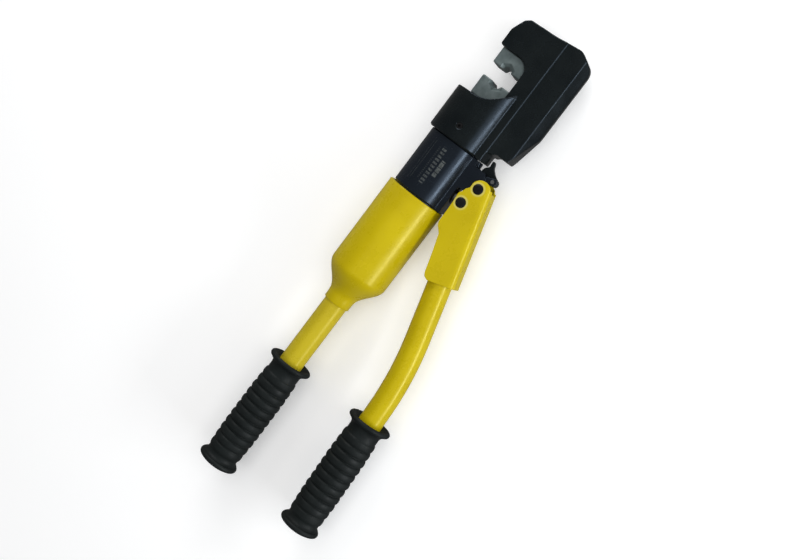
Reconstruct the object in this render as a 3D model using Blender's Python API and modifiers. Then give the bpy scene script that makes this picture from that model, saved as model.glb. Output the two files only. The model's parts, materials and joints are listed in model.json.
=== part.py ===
"""Hand-operated hydraulic crimping tool with a C-shaped head.

The tool lies flat.  Design sizes are in millimetres in the tool frame: X runs
along the cylinder axis towards the head, Y points to the open side of the C,
and Z is the axis of the handle pivots.  TOOL_ORIGIN shifts that frame so that
the finished tool stands on z = 0 with its box centred on the origin.
"""
import math

import bmesh
import bpy
from mathutils import Matrix, Vector

MM = 0.001
WELD = 0.00002
GAP = 0.3
TOOL_ORIGIN = Vector((-265.1, 48.6, 33.1))

# main rounds
ROUND_STEPS = 36
SMALL_STEPS = 20

# hydraulic cylinder
CYLINDER_R = 28.3
CYLINDER_REAR = 335.6
CYLINDER_SHOULDER = 398.6
NOSE_R = 26.6
NOSE_FRONT = 437.0
BORE_R = 22.3
BORE_BOTTOM = 373.0
SPIGOT_R = 27.2
SPIGOT_REAR = 316.0
TANK_NOSE_R = 18.5
TANK_NOSE_REAR = 296.0
BOSS_HALF_WIDTH = 12.4
BOSS_LOW = -31.8
BOSS_FRONT = 398.7
RIB_LOW = -34.8
RIB_HALF = 2.2
LUG_LEFT = 366.5

# reservoir and fixed handle
TANK_REAR = 198.3
TANK_FRONT = 334.0
TANK_R = 32.0
NECK_R = 14.4
TUBE_R = 12.7
TUBE_BORE_R = 10.6
FIXED_TUBE_END = 216.0

# grips
GRIP_LENGTH = 134.0
GRIP_RIBS = 11
GRIP_RIB_PITCH = 9.15
GRIP_RIB_R = 19.5
GRIP_VALLEY_R = 17.4
GRIP_NECK_R = 17.1
GRIP_END_R = 21.9
GRIP_GUARD_R = 23.9
FIXED_GRIP_START = -11.0

# C-head
COLLAR_R = 33.1
COLLAR_REAR = 399.0
COLLAR_BORE_R = 26.9
COLLAR_WALL = 438.0
MOUTH_X = 447.2
MOUTH_Y = 14.0
MOUTH_R = 34.0
HEAD_HALF = 20.0
THROAT_FLOOR = -16.2
JAW_SEAT = 502.0
THROAT_CORNER_R = 13.0
DIE_SLOT_HALF = 15.3
ROOT_R = 39.2

# ram and dies
ROD_R = 15.6
PISTON_REAR = 375.0
PISTON_FRONT = 391.0
ROD_FRONT = 447.3
DIE_HALF_THICKNESS = 14.8
DIE_LOW_Y = -15.8
DIE_HIGH_Y = 16.9
LOWER_DIE_BASE = 447.6
LOWER_DIE_LAND = 469.2
UPPER_DIE_LAND = 484.0
HEX_SIDE = 4.9
FLARE = 3.8
DIE_BEVEL = 1.2

# lever pivots
DRIVE_PIN = (356.0, -43.4)
FULCRUM = (376.4, -49.3)
LEVER_PIVOT = (390.3, -54.6)
PIN_R = 4.0
BRACKET_ANGLE = math.radians(16.0)
BRACKET_HALF = 16.2
BRACKET_WALL = 3.2
WEB_LOW = (283.9, -90.05)
WEB_NOTCH_HALF = 9.8

# pump
PLUNGER_X = 357.5
PLUNGER_R = 6.05
RELEASE_Y = -39.5

# moving handle tube: two straight runs and the bend between them
HANDLE_RUN_ANGLE = math.radians(15.6)
HANDLE_GRIP_ANGLE = math.radians(2.6)
HANDLE_CORNER = (182.4, -100.15)
HANDLE_BEND_R = 350.0
HANDLE_INNER_END = 322.0
MOVING_GRIP_START = -6.0

YELLOW = (0.58, 0.44, 0.005, 1.0)
BLACK_PAINT = (0.011, 0.012, 0.014, 1.0)
BLUE_BLACK = (0.013, 0.016, 0.024, 1.0)
RUBBER = (0.010, 0.012, 0.012, 1.0)
STEEL = (0.42, 0.43, 0.43, 1.0)
DIE_STEEL = (0.20, 0.21, 0.20, 1.0)
BRASS = (0.60, 0.42, 0.18, 1.0)
SEAL = (0.03, 0.02, 0.015, 1.0)


# ---------------------------------------------------------------- scene set-up
def clear_scene():
    for obj in list(bpy.data.objects):
        bpy.data.objects.remove(obj, do_unlink=True)


def new_collection(name):
    collection = bpy.data.collections.new(name)
    bpy.context.scene.collection.children.link(collection)
    return collection


def new_empty(name, location, parent=None):
    """Empty at a tool-frame point, which carries the pieces of one moving body."""
    empty = bpy.data.objects.new(name, None)
    parts.objects.link(empty)
    empty["tool_point"] = location
    offset = Vector(parent["tool_point"]) if parent else -TOOL_ORIGIN
    empty.parent = parent
    empty.location = (Vector(location) - offset) * MM
    return empty


def material(name, colour, roughness, metallic):
    mat = bpy.data.materials.new(name)
    mat.use_nodes = True
    shader = mat.node_tree.nodes["Principled BSDF"]
    shader.inputs["Base Color"].default_value = colour
    shader.inputs["Roughness"].default_value = roughness
    shader.inputs["Metallic"].default_value = metallic
    return mat


# ---------------------------------------------------------------- outlines
def arc(centre, radius, start, end, steps):
    """Points on an arc in degrees, both ends included."""
    points = []
    for i in range(steps + 1):
        a = math.radians(start + (end - start) * i / steps)
        points.append((centre[0] + radius * math.cos(a), centre[1] + radius * math.sin(a)))
    return points


def rounded(corners, steps=4):
    """Outline through corners (x, y, radius), each rounded by an arc."""
    outline = []
    count = len(corners)
    for i, (x, y, radius) in enumerate(corners):
        here = Vector((x, y))
        if radius <= 0:
            outline.append((x, y))
            continue
        before = (Vector(corners[i - 1][:2]) - here).normalized()
        after = (Vector(corners[(i + 1) % count][:2]) - here).normalized()
        half = before.angle(after) / 2
        bisector = (before + after).normalized()
        centre = here + bisector * (radius / math.sin(half))
        first = here + before * (radius / math.tan(half)) - centre
        last = here + after * (radius / math.tan(half)) - centre
        sweep = first.angle_signed(last)
        for k in range(steps + 1):
            turn = Matrix.Rotation(-sweep * k / steps, 2)
            point = centre + turn @ first
            outline.append((point.x, point.y))
    return outline


def to_direction(x_axis, y_axis):
    """Rotation whose local x and y run along the two given tool directions."""
    x_axis = Vector(x_axis).normalized()
    y_axis = Vector(y_axis).normalized()
    return Matrix((x_axis, y_axis, x_axis.cross(y_axis))).transposed()


AXIAL = to_direction((0, 1, 0), (0, 0, 1))
FLAT = to_direction((1, 0, 0), (0, 1, 0))


# ---------------------------------------------------------------- shapes
def add_object(name, mesh, rotation, location):
    obj = bpy.data.objects.new(name, mesh)
    parts.objects.link(obj)
    obj.rotation_euler = rotation.to_euler()
    obj["tool_point"] = tuple(location)
    obj.parent = tool
    obj.location = Vector(location) * MM
    return obj


def finish_mesh(mesh, angle=35):
    mesh.shade_smooth()
    mesh.set_sharp_from_angle(angle=math.radians(angle))


def turned(name, profile, start=(0, 0, 0), heading=0.0, steps=ROUND_STEPS, closed=False, upright=False):
    """Turned piece about X, about a line turned by heading, or about Z when upright.

    The profile lists (axial, radius) from the front end down the outer side,
    and then, for a ring, back along the inner side.
    """
    mesh = bpy.data.meshes.new(name)
    points = [(radius * MM, 0.0, axial * MM) for axial, radius in profile]
    edges = [(i, i + 1) for i in range(len(points) - 1)]
    if closed:
        edges.append((len(points) - 1, 0))
    mesh.from_pydata(points, edges, [])
    rotation = Matrix.Rotation(heading, 3, "Z") @ Matrix.Rotation(math.pi / 2, 3, "Y")
    obj = add_object(name, mesh, FLAT if upright else rotation, start)
    screw = obj.modifiers.new("Turn", "SCREW")
    screw.axis = "Z"
    screw.steps = steps
    screw.render_steps = steps
    screw.use_smooth_shade = True
    screw.use_merge_vertices = True
    screw.merge_threshold = WELD
    return obj


def ring(name, front, rear, outer, inner, steps=ROUND_STEPS, start=(0, 0, 0)):
    """Plain ring between two axial places."""
    profile = [(front, inner), (front, outer), (rear, outer), (rear, inner)]
    return turned(name, profile, start=start, steps=steps, closed=True)


def wire_ring(name, axial, radius, wire_radius, steps=ROUND_STEPS):
    """Round-section ring about the tool's X axis."""
    profile = arc((axial, radius), wire_radius, 0, 360, 6)[1:]
    return turned(name, profile, steps=steps, closed=True)


def ball(name, centre, radius):
    mesh = bpy.data.meshes.new(name)
    bm = bmesh.new()
    bmesh.ops.create_uvsphere(bm, u_segments=10, v_segments=6, radius=radius * MM)
    bm.to_mesh(mesh)
    bm.free()
    mesh.shade_smooth()
    return add_object(name, mesh, FLAT, centre)


def round_bar(name, start, direction, length, radius, end_radius=None, steps=SMALL_STEPS):
    """Solid cylinder or cone from a point along a direction."""
    end_radius = radius if end_radius is None else end_radius
    mesh = bpy.data.meshes.new(name)
    bm = bmesh.new()
    bmesh.ops.create_cone(bm, cap_ends=True, segments=steps, radius1=radius * MM,
                          radius2=end_radius * MM, depth=length * MM)
    bmesh.ops.translate(bm, verts=bm.verts, vec=(0, 0, length * MM / 2))
    bm.to_mesh(mesh)
    bm.free()
    finish_mesh(mesh)
    rotation = Vector((0, 0, 1)).rotation_difference(Vector(direction)).to_matrix()
    return add_object(name, mesh, rotation, start)


def block(name, low, high):
    """Box between two tool-frame corners."""
    low = Vector(low)
    high = Vector(high)
    mesh = bpy.data.meshes.new(name)
    bm = bmesh.new()
    bmesh.ops.create_cube(bm, size=MM)
    bmesh.ops.scale(bm, verts=bm.verts, vec=high - low)
    bm.to_mesh(mesh)
    bm.free()
    return add_object(name, mesh, FLAT, (low + high) / 2)


def curve_to_mesh(obj):
    """Replace a curve object with its mesh, the caps welded on."""
    graph = bpy.context.evaluated_depsgraph_get()
    mesh = bpy.data.meshes.new_from_object(obj.evaluated_get(graph))
    bm = bmesh.new()
    bm.from_mesh(mesh)
    bmesh.ops.remove_doubles(bm, verts=bm.verts, dist=WELD)
    bm.to_mesh(mesh)
    bm.free()
    name = obj.name
    place = Vector(obj["tool_point"])
    matrix = obj.matrix_world.to_3x3()
    bpy.data.objects.remove(obj, do_unlink=True)
    mesh.name = name
    finish_mesh(mesh)
    return add_object(name, mesh, matrix, place)


def new_curve(name, points, cyclic, dimensions):
    curve = bpy.data.curves.new(name, "CURVE")
    curve.dimensions = dimensions
    spline = curve.splines.new("POLY")
    spline.points.add(len(points) - 1)
    for target, point in zip(spline.points, points):
        xyz = Vector(point).to_3d() * MM
        target.co = (xyz.x, xyz.y, xyz.z, 1.0)
    spline.use_cyclic_u = cyclic
    return curve


def extruded(name, outline, half_length, rotation=FLAT, centre=(0, 0, 0)):
    """Flat outline in the local x-y plane, extruded both ways along local z."""
    curve = new_curve(name, outline, True, "2D")
    curve.fill_mode = "BOTH"
    curve.extrude = half_length * MM
    obj = add_object(name, curve, rotation, centre)
    bpy.context.view_layer.update()
    return curve_to_mesh(obj)


def wire(name, points, radius, resolution=2, cyclic=False):
    """Round wire or bar along a row of points, with closed ends."""
    curve = new_curve(name, points, cyclic, "3D")
    curve.bevel_depth = radius * MM
    curve.bevel_resolution = resolution
    curve.use_fill_caps = True
    obj = add_object(name, curve, FLAT, (0, 0, 0))
    bpy.context.view_layer.update()
    return curve_to_mesh(obj)


def coil(name, start, direction, length, radius, wire_radius, turns, per_turn=8, resolution=0):
    """Helical spring from a point along an axis direction."""
    frame = Vector((0, 0, 1)).rotation_difference(Vector(direction)).to_matrix()
    points = []
    count = int(turns * per_turn)
    for i in range(count + 1):
        a = 2 * math.pi * i / per_turn
        along = wire_radius + (length - 2 * wire_radius) * i / count
        local = Vector((radius * math.cos(a), radius * math.sin(a), along))
        points.append(frame @ local + Vector(start))
    return wire(name, points, wire_radius, resolution=resolution)


def add_bevel(obj, width, angle=30, segments=1):
    bevel = obj.modifiers.new("Edges", "BEVEL")
    bevel.width = width * MM
    bevel.segments = segments
    bevel.limit_method = "ANGLE"
    bevel.angle_limit = math.radians(angle)
    return obj


def combine(obj, others, operation):
    """Boolean each other shape into obj; the other shapes become guides."""
    for other in others:
        boolean = obj.modifiers.new(operation.title(), "BOOLEAN")
        boolean.operation = operation
        boolean.object = other
        boolean.solver = "EXACT"
        parts.objects.unlink(other)
        cutters.objects.link(other)
        other.hide_render = True
        other.display_type = "WIRE"
    return obj


def cut(obj, *others):
    return combine(obj, others, "DIFFERENCE")


def join(obj, *others):
    return combine(obj, others, "UNION")


def intersect(obj, *others):
    return combine(obj, others, "INTERSECT")


def finish(obj, mat, body):
    """Give a piece its material and hang it on its body's empty."""
    obj.data.materials.clear()
    obj.data.materials.append(mat)
    for modifier in obj.modifiers:
        if modifier.type == "BOOLEAN":
            modifier.material_mode = "TRANSFER"
            modifier.object.data.materials.clear()
            modifier.object.data.materials.append(mat)
    point = Vector(obj["tool_point"]) - Vector(body["tool_point"])
    obj.parent = body
    obj.location = point * MM
    return obj


# ---------------------------------------------------------------- cylinder
def lug_plate():
    """Pump lug: a boss under the cylinder that narrows to the fulcrum eye."""
    x, y = FULCRUM
    outline = [(LUG_LEFT, -20.0), (LUG_LEFT, -41.0)]
    outline += arc(FULCRUM, 7.4, 190, 335, 8)
    outline += [(x + 7.6, y + 0.5), (390.4, -46.4), (392.8, -44.6), (392.8, BOSS_LOW)]
    outline += [(BOSS_FRONT, BOSS_LOW), (BOSS_FRONT, -20.0)]
    return extruded("lug_guide", outline, BOSS_HALF_WIDTH)


def lever_cheeks():
    """Leg of the lug that carries the release lever's pin."""
    outline = [(384.6, -43.0)]
    outline += arc(LEVER_PIVOT, 4.2, 215, 350, 6)
    outline += [(388.6, -40.5)]
    return extruded("leg_guide", outline, 8.0)


def make_cylinder_body(mat):
    profile = [
        (NOSE_FRONT, 0), (NOSE_FRONT, NOSE_R - 1.0), (NOSE_FRONT - 1.0, NOSE_R),
        (CYLINDER_SHOULDER, NOSE_R), (CYLINDER_SHOULDER, CYLINDER_R - 0.6),
        (CYLINDER_SHOULDER - 0.6, CYLINDER_R), (CYLINDER_REAR + 0.5, CYLINDER_R),
        (CYLINDER_REAR, CYLINDER_R - 0.5), (CYLINDER_REAR, SPIGOT_R), (SPIGOT_REAR, SPIGOT_R),
        (SPIGOT_REAR, TANK_NOSE_R), (TANK_NOSE_REAR, TANK_NOSE_R), (TANK_NOSE_REAR, 0)]
    body = turned("cylinder_body", profile)
    boss = block("boss_guide", (334.6, -30.8, -BOSS_HALF_WIDTH), (BOSS_FRONT, -18.0, BOSS_HALF_WIDTH))
    rib = block("rib_guide", (388.0, RIB_LOW, -RIB_HALF), (BOSS_FRONT - 0.4, -28.0, RIB_HALF))
    join(body, add_bevel(boss, 1.5), lug_plate(), rib, lever_cheeks())
    x, y = LEVER_PIVOT
    cut(body,
        round_bar("ram_bore", (BORE_BOTTOM, 0, 0), (1, 0, 0), 80, BORE_R, steps=ROUND_STEPS),
        ring("nose_groove", 431.6, 428.4, NOSE_R + 1.0, 25.3, steps=32),
        ring("seal_groove", 325.4, 322.6, SPIGOT_R + 1.0, 25.1, steps=32),
        round_bar("pump_bore", (PLUNGER_X, 3.0, 0), (0, -1, 0), 60, PLUNGER_R + 0.15),
        round_bar("gland_bore", (PLUNGER_X, -18.3, 0), (0, -1, 0), 30, 9.2),
        round_bar("suction_bore", (290, 0, 0), (1, 0, 0), 62, 1.8, steps=12),
        round_bar("suction_seat", (290, 0, 0), (1, 0, 0), 28, 4.2, steps=16),
        round_bar("outlet_bore", (355, -1.0, 0), (1, 0, 0), 20, 1.6, steps=12),
        round_bar("outlet_seat", (365.2, -1.0, 0), (1, 0, 0), 10, 3.2, steps=16),
        round_bar("relief_bore", (290, 11.0, 0), (1, 0, 0), 40, 3.3, steps=16),
        round_bar("release_bore", (368.5, RELEASE_Y, 0), (1, 0, 0), 30, 2.15, steps=16),
        round_bar("release_passage", (380.0, RELEASE_Y, 0), (0, 1, 0), 20, 1.0, steps=10),
        round_bar("fulcrum_bore", (FULCRUM[0], FULCRUM[1], -20), (0, 0, 1), 40, PIN_R + 0.1),
        round_bar("lever_bore", (x, y, -20), (0, 0, 1), 40, 2.1, steps=16),
        block("lever_slot", (383.2, -62.0, -3.8), (399.5, -37.6, 3.8)))
    return finish(body, mat, tool)


def make_valves(steel, brass):
    """Check, relief and release valves inside the cylinder body."""
    strainer = ring("suction_strainer", 306.0, 278.0, 4.0, 2.4, steps=16)
    finish(strainer, brass, tool)
    finish(ball("inlet_valve_ball", (308.9, 0, 0), 2.7), steel, tool)
    finish(coil("inlet_valve_spring", (311.9, 0, 0), (1, 0, 0), 5.6, 2.6, 0.4, 4), steel, tool)
    finish(ball("outlet_valve_ball", (366.9, -1.0, 0), 2.2), steel, tool)
    finish(coil("outlet_valve_spring", (369.4, -1.0, 0), (1, 0, 0), 1.9, 2.0, 0.25, 2), steel, tool)
    cap = ring("outlet_valve_cap", 372.8, 371.5, 3.05, 1.0, steps=16, start=(0, -1.0, 0))
    finish(cap, brass, tool)
    finish(ball("relief_valve_ball", (327.3, 11.0, 0), 2.4), steel, tool)
    finish(coil("relief_valve_spring", (311.3, 11.0, 0), (1, 0, 0), 13.3, 2.3, 0.5, 7), steel, tool)
    screw = ring("relief_valve_screw", 311.0, 299.0, 3.1, 1.2, steps=16, start=(0, 11.0, 0))
    finish(screw, brass, tool)
    finish(ball("release_valve_ball", (376.2, RELEASE_Y, 0), 1.9), steel, tool)
    spring = coil("release_valve_spring", (369.0, RELEASE_Y, 0), (1, 0, 0), 5.0, 1.6, 0.25, 5)
    finish(spring, steel, tool)


def make_pump_seals(black, seal):
    gland = turned("pump_gland", [(-22.0, PLUNGER_R + 0.1), (-22.0, 9.0), (-30.6, 9.0),
                                  (-31.4, 8.2), (-31.4, PLUNGER_R + 0.1)],
                   steps=24, closed=True, start=(PLUNGER_X, 0, 0), heading=math.pi / 2)
    finish(gland, black, tool)
    ring_seal = turned("plunger_seal", [(-18.7, PLUNGER_R + 0.15), (-18.7, 8.9), (-21.7, 8.9),
                                        (-21.7, PLUNGER_R + 0.15)],
                       steps=24, closed=True, start=(PLUNGER_X, 0, 0), heading=math.pi / 2)
    finish(ring_seal, seal, tool)


# ---------------------------------------------------------------- reservoir
def tank_profile():
    """Outer side of the reservoir from its front end to its neck."""
    shoulder = []
    for i in range(7):
        t = i / 6
        ease = t * t * (3 - 2 * t)
        shoulder.append((237.0 - t * 30.0, TANK_R - (TANK_R - 15.0) * ease))
    outer = [(TANK_FRONT, TANK_R - 0.7), (TANK_FRONT - 0.6, TANK_R)]
    return outer + shoulder + [(205.0, NECK_R), (TANK_REAR + 0.6, NECK_R), (TANK_REAR, NECK_R - 0.6)]


def make_reservoir(yellow, seal, rubber, steel):
    outer = tank_profile()
    inner = [(TANK_REAR, TUBE_R + 0.25), (212.5, TUBE_R + 0.25), (217.0, 14.5)]
    inner += [(222.0, 20.5), (228.0, 26.5), (236.5, 29.3), (243.0, 29.9), (TANK_FRONT, 27.7)]
    finish(turned("reservoir_shell", outer + inner, closed=True), yellow, tool)
    finish(wire_ring("reservoir_o_ring", 324.0, SPIGOT_R - 0.75, 1.1), seal, tool)
    bladder = [(315.4, 18.8), (315.4, 20.3), (301.0, 20.3), (292.0, 25.2), (246.0, 25.2),
               (238.0, 20.0), (235.0, 8.0), (235.0, 3.4), (236.8, 3.4), (236.8, 8.0),
               (239.4, 19.0), (246.8, 23.6), (291.4, 23.6), (299.8, 18.8)]
    finish(turned("oil_bladder", bladder, steps=20, closed=True), rubber, tool)
    finish(ring("bladder_clamp", 311.0, 304.0, 22.4, 20.6, steps=28), steel, tool)
    plug = [(243.0, 0), (243.0, 3.1), (234.7, 3.1), (234.7, 6.5), (232.0, 6.5), (232.0, 0)]
    finish(turned("filler_plug", plug, steps=16), seal, tool)


# ---------------------------------------------------------------- handles
def grip_profile():
    """Outer side of a ribbed grip from the guard flange to the end flange."""
    guard = [(GRIP_LENGTH - 2.0, 16.0)]
    guard += [(GRIP_LENGTH - 0.4, 20.0), (GRIP_LENGTH - 1.2, 22.8), (GRIP_LENGTH - 3.6, GRIP_GUARD_R),
              (GRIP_LENGTH - 6.6, 22.6), (GRIP_LENGTH - 9.0, 19.0), (GRIP_LENGTH - 10.5, GRIP_NECK_R)]
    ribs = []
    last_rib = GRIP_LENGTH - 23.0
    for i in range(GRIP_RIBS):
        peak = last_rib - i * GRIP_RIB_PITCH
        ribs += [(peak + GRIP_RIB_PITCH / 2, GRIP_VALLEY_R), (peak, GRIP_RIB_R)]
    tail = [(14.0, GRIP_NECK_R), (9.6, GRIP_NECK_R), (8.4, 20.0),
            (5.4, GRIP_END_R), (2.8, 21.4), (0.8, 18.0), (0, 12.0), (0, 0)]
    return guard + ribs + tail


def make_grip(name, start, heading, mat, body):
    bore = TUBE_R + 0.4
    profile = [(4.0, 0), (4.0, bore), (GRIP_LENGTH - 4.0, bore)] + grip_profile()
    grip = turned(name, profile, start=start, heading=heading, steps=20)
    return finish(grip, mat, body)


def handle_path():
    """Centre line of the moving handle from inside the bracket to the grip's end."""
    corner = Vector(HANDLE_CORNER)
    run = Vector((math.cos(HANDLE_RUN_ANGLE), math.sin(HANDLE_RUN_ANGLE)))
    tail = Vector((math.cos(HANDLE_GRIP_ANGLE), math.sin(HANDLE_GRIP_ANGLE)))
    turn = HANDLE_RUN_ANGLE - HANDLE_GRIP_ANGLE
    tangent = HANDLE_BEND_R * math.tan(turn / 2)
    first = corner + run * tangent
    centre = first + Vector((-run.y, run.x)) * HANDLE_BEND_R
    points = [corner + run * ((HANDLE_INNER_END - corner.x) / run.x)]
    steps = 7
    for i in range(steps + 1):
        angle = HANDLE_RUN_ANGLE - turn * i / steps
        points.append(centre + Vector((math.sin(angle), -math.cos(angle))) * HANDLE_BEND_R)
    points.append(corner - tail * ((corner.x - MOVING_GRIP_START - 4.6) / tail.x))
    return [(p.x, p.y, 0.0) for p in points]


def make_handles(yellow, rubber):
    tube = ring("fixed_handle_tube", FIXED_TUBE_END, FIXED_GRIP_START + 4.4, TUBE_R, TUBE_BORE_R)
    finish(tube, yellow, tool)
    make_grip("fixed_handle_grip", (FIXED_GRIP_START, 0, 0), 0.0, rubber, tool)

    path = handle_path()
    bent = wire("moving_handle_tube", path, TUBE_R, resolution=6)
    inner_end = Vector(path[0]) * 1.02 - Vector(path[1]) * 0.02
    grip_end = Vector(path[-1]) * 1.04 - Vector(path[-2]) * 0.04
    cut(bent, wire("handle_bore", [inner_end] + path[1:-1] + [grip_end], TUBE_BORE_R, resolution=4))
    finish(bent, yellow, moving)
    corner = Vector(HANDLE_CORNER)
    reach = (corner.x - MOVING_GRIP_START) / math.cos(HANDLE_GRIP_ANGLE)
    start = corner - Vector((math.cos(HANDLE_GRIP_ANGLE), math.sin(HANDLE_GRIP_ANGLE))) * reach
    make_grip("moving_handle_grip", (start.x, start.y, 0), HANDLE_GRIP_ANGLE, rubber, moving)


def bracket_outline():
    """Side view of the folded bracket, with its tube end, hump and fulcrum end."""
    along = Vector((math.cos(BRACKET_ANGLE), math.sin(BRACKET_ANGLE)))
    low = Vector(WEB_LOW) + Vector((along.y, -along.x))
    high = low + along * 101.8
    outline = [(low.x, low.y), (high.x, high.y), (382.0, -59.8)]
    outline += arc((376.2, -51.6), 10.4, -35, 78, 8)
    outline += [(373.2, -41.5), (370.0, -38.8)]
    outline += arc((361.2, -40.6), 5.2, 38, 110, 4)
    outline += [(350.0, -36.5), (328.4, -37.0), (324.8, -38.7), (319.0, -44.3), (301.8, -50.2)]
    outline += [(281.0, -56.5), (277.3, -58.7), (275.6, -63.0)]
    return outline


def make_bracket(mat):
    """U-section folded from sheet, its mouth towards the cylinder."""
    depth = 60.0
    half = BRACKET_HALF
    inner = half - BRACKET_WALL
    section = [(depth, half, 0), (0, half, 6.5), (0, -half, 6.5), (depth, -half, 0),
               (depth, -inner, 0), (BRACKET_WALL, -inner, 3.3), (BRACKET_WALL, inner, 3.3),
               (depth, inner, 0)]
    across = (-math.sin(BRACKET_ANGLE), math.cos(BRACKET_ANGLE), 0)
    rotation = to_direction(across, (0, 0, 1))
    channel = extruded("handle_bracket", rounded(section, steps=4), 80.0, rotation,
                       (WEB_LOW[0] + 50, WEB_LOW[1] + 50 * math.tan(BRACKET_ANGLE), 0))
    intersect(channel, extruded("bracket_side", bracket_outline(), half + 3))
    cut(channel,
        block("web_notch", (380.0, -68.0, -WEB_NOTCH_HALF), (394.0, -44.0, WEB_NOTCH_HALF)),
        round_bar("drive_hole", (DRIVE_PIN[0], DRIVE_PIN[1], -20), (0, 0, 1), 40, PIN_R + 0.12),
        round_bar("fulcrum_hole", (FULCRUM[0], FULCRUM[1], -20), (0, 0, 1), 40, PIN_R + 0.12))
    return finish(channel, mat, moving)


def make_pivot_pin(name, place, mat, body):
    """Headed pin through both bracket cheeks with a clip groove on the far side."""
    top = BRACKET_HALF + GAP
    profile = [(top + 1.0, 0), (top + 1.0, 2.8), (top + 0.4, 4.7), (top, 5.4), (top, PIN_R)]
    profile += [(-top, PIN_R), (-top, 3.2), (-top - 1.1, 3.2), (-top - 1.1, PIN_R)]
    profile += [(-top - 1.9, PIN_R), (-top - 2.4, 3.4), (-top - 2.4, 0)]
    finish(turned(name, profile, start=(*place, 0), steps=SMALL_STEPS, upright=True), mat, body)
    clip = [(-top - 0.15, 3.45), (-top - 0.15, 6.0), (-top - 0.95, 6.0), (-top - 0.95, 3.45)]
    circlip = turned(name + "_circlip", clip, start=(*place, 0), steps=SMALL_STEPS, closed=True,
                     upright=True)
    finish(circlip, mat, body)


# ---------------------------------------------------------------- pump and release
def make_plunger(mat):
    """Pump plunger with a slotted eye that the drive pin pushes and pulls."""
    rod = round_bar("plunger", (PLUNGER_X, -5.0, 0), (0, -1, 0), 34.5, PLUNGER_R, steps=24)
    x, y = DRIVE_PIN
    eye = block("eye_guide", (x - 9.4, y - 7.6, -9.0), (x + 9.6, y + 6.4, 9.0))
    join(rod, add_bevel(eye, 1.2))
    half = PIN_R + 0.3
    slot = arc((x + 2.3, y), half, -90, 90, 8) + arc((x - 2.3, y), half, 90, 270, 8)
    cut(rod, extruded("eye_slot", slot, 15.0))
    return finish(rod, mat, plunger_body)


def make_release(mat, steel):
    """Release lever in the fork of the lug, its pin, and the valve pin it presses."""
    x, y = LEVER_PIVOT
    outline = arc(LEVER_PIVOT, 4.4, 205, 320, 7)
    outline += [(397.4, -50.8), (401.8, -46.4), (405.6, -45.0), (407.4, -43.2), (406.4, -41.6),
                (403.6, -41.8), (400.6, -42.4), (397.8, -39.4), (394.0, -38.0), (391.8, -38.4),
                (391.4, -44.0)]
    lever = extruded("release_lever", outline, 3.4)
    cut(lever, round_bar("lever_hole", (x, y, -20), (0, 0, 1), 40, 2.12, steps=16))
    finish(lever, mat, release)
    finish(round_bar("release_lever_pin", (x, y, -8.6), (0, 0, 1), 17.2, 2.0, steps=16), steel, tool)
    profile = [(391.1, 0), (391.1, 1.2), (390.3, 2.0), (378.3, 2.0), (378.3, 0)]
    pin = turned("release_valve_pin", profile, start=(0, RELEASE_Y, 0), steps=16)
    finish(pin, steel, valve_pin)


# ---------------------------------------------------------------- head, ram and dies
def mouth_curve():
    """Edge where the collar's rim sweeps into the spine, from its open side down."""
    points = [(MOUTH_X, 60.0), (MOUTH_X, MOUTH_Y)]
    points += arc((MOUTH_X + MOUTH_R, MOUTH_Y), MOUTH_R, 180, 225, 6)[1:]
    last = points[-1]
    reach = last[1] - THROAT_FLOOR
    points.append((last[0] + reach, THROAT_FLOOR))
    return points


def head_outline():
    """Side view of the spine and the jaw, before the throat is cut."""
    corners = [(404.0, -20.0, 0), (399.2, -30.0, 0), (399.2, -38.8, 1.5), (413.6, -38.8, 6.0),
               (413.6, -56.4, 1.5), (450.0, -66.5, 14.0), (531.5, -66.5, 14.0), (541.7, -49.6, 12.0),
               (538.2, -22.0, 20.0), (537.0, 9.0, 5.0), (533.0, 14.2, 4.0), (519.6, 19.9, 2.0),
               (502.2, 19.9, 2.0), (501.0, 10.0, 0), (440.0, 10.0, 0)]
    return rounded(corners, steps=4)


def head_section():
    """End view: flat cheeks at the throat, a small step, then flanks that fall to a round back."""
    step = [(-33.4, HEAD_HALF), (-34.3, HEAD_HALF - 1.1)]
    upper = [(30.0, HEAD_HALF)] + step + [(-58.0, 14.8), (-65.6, 5.0), (-66.7, 3.0)]
    return upper + [(y, -z) for y, z in reversed(upper)]


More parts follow.
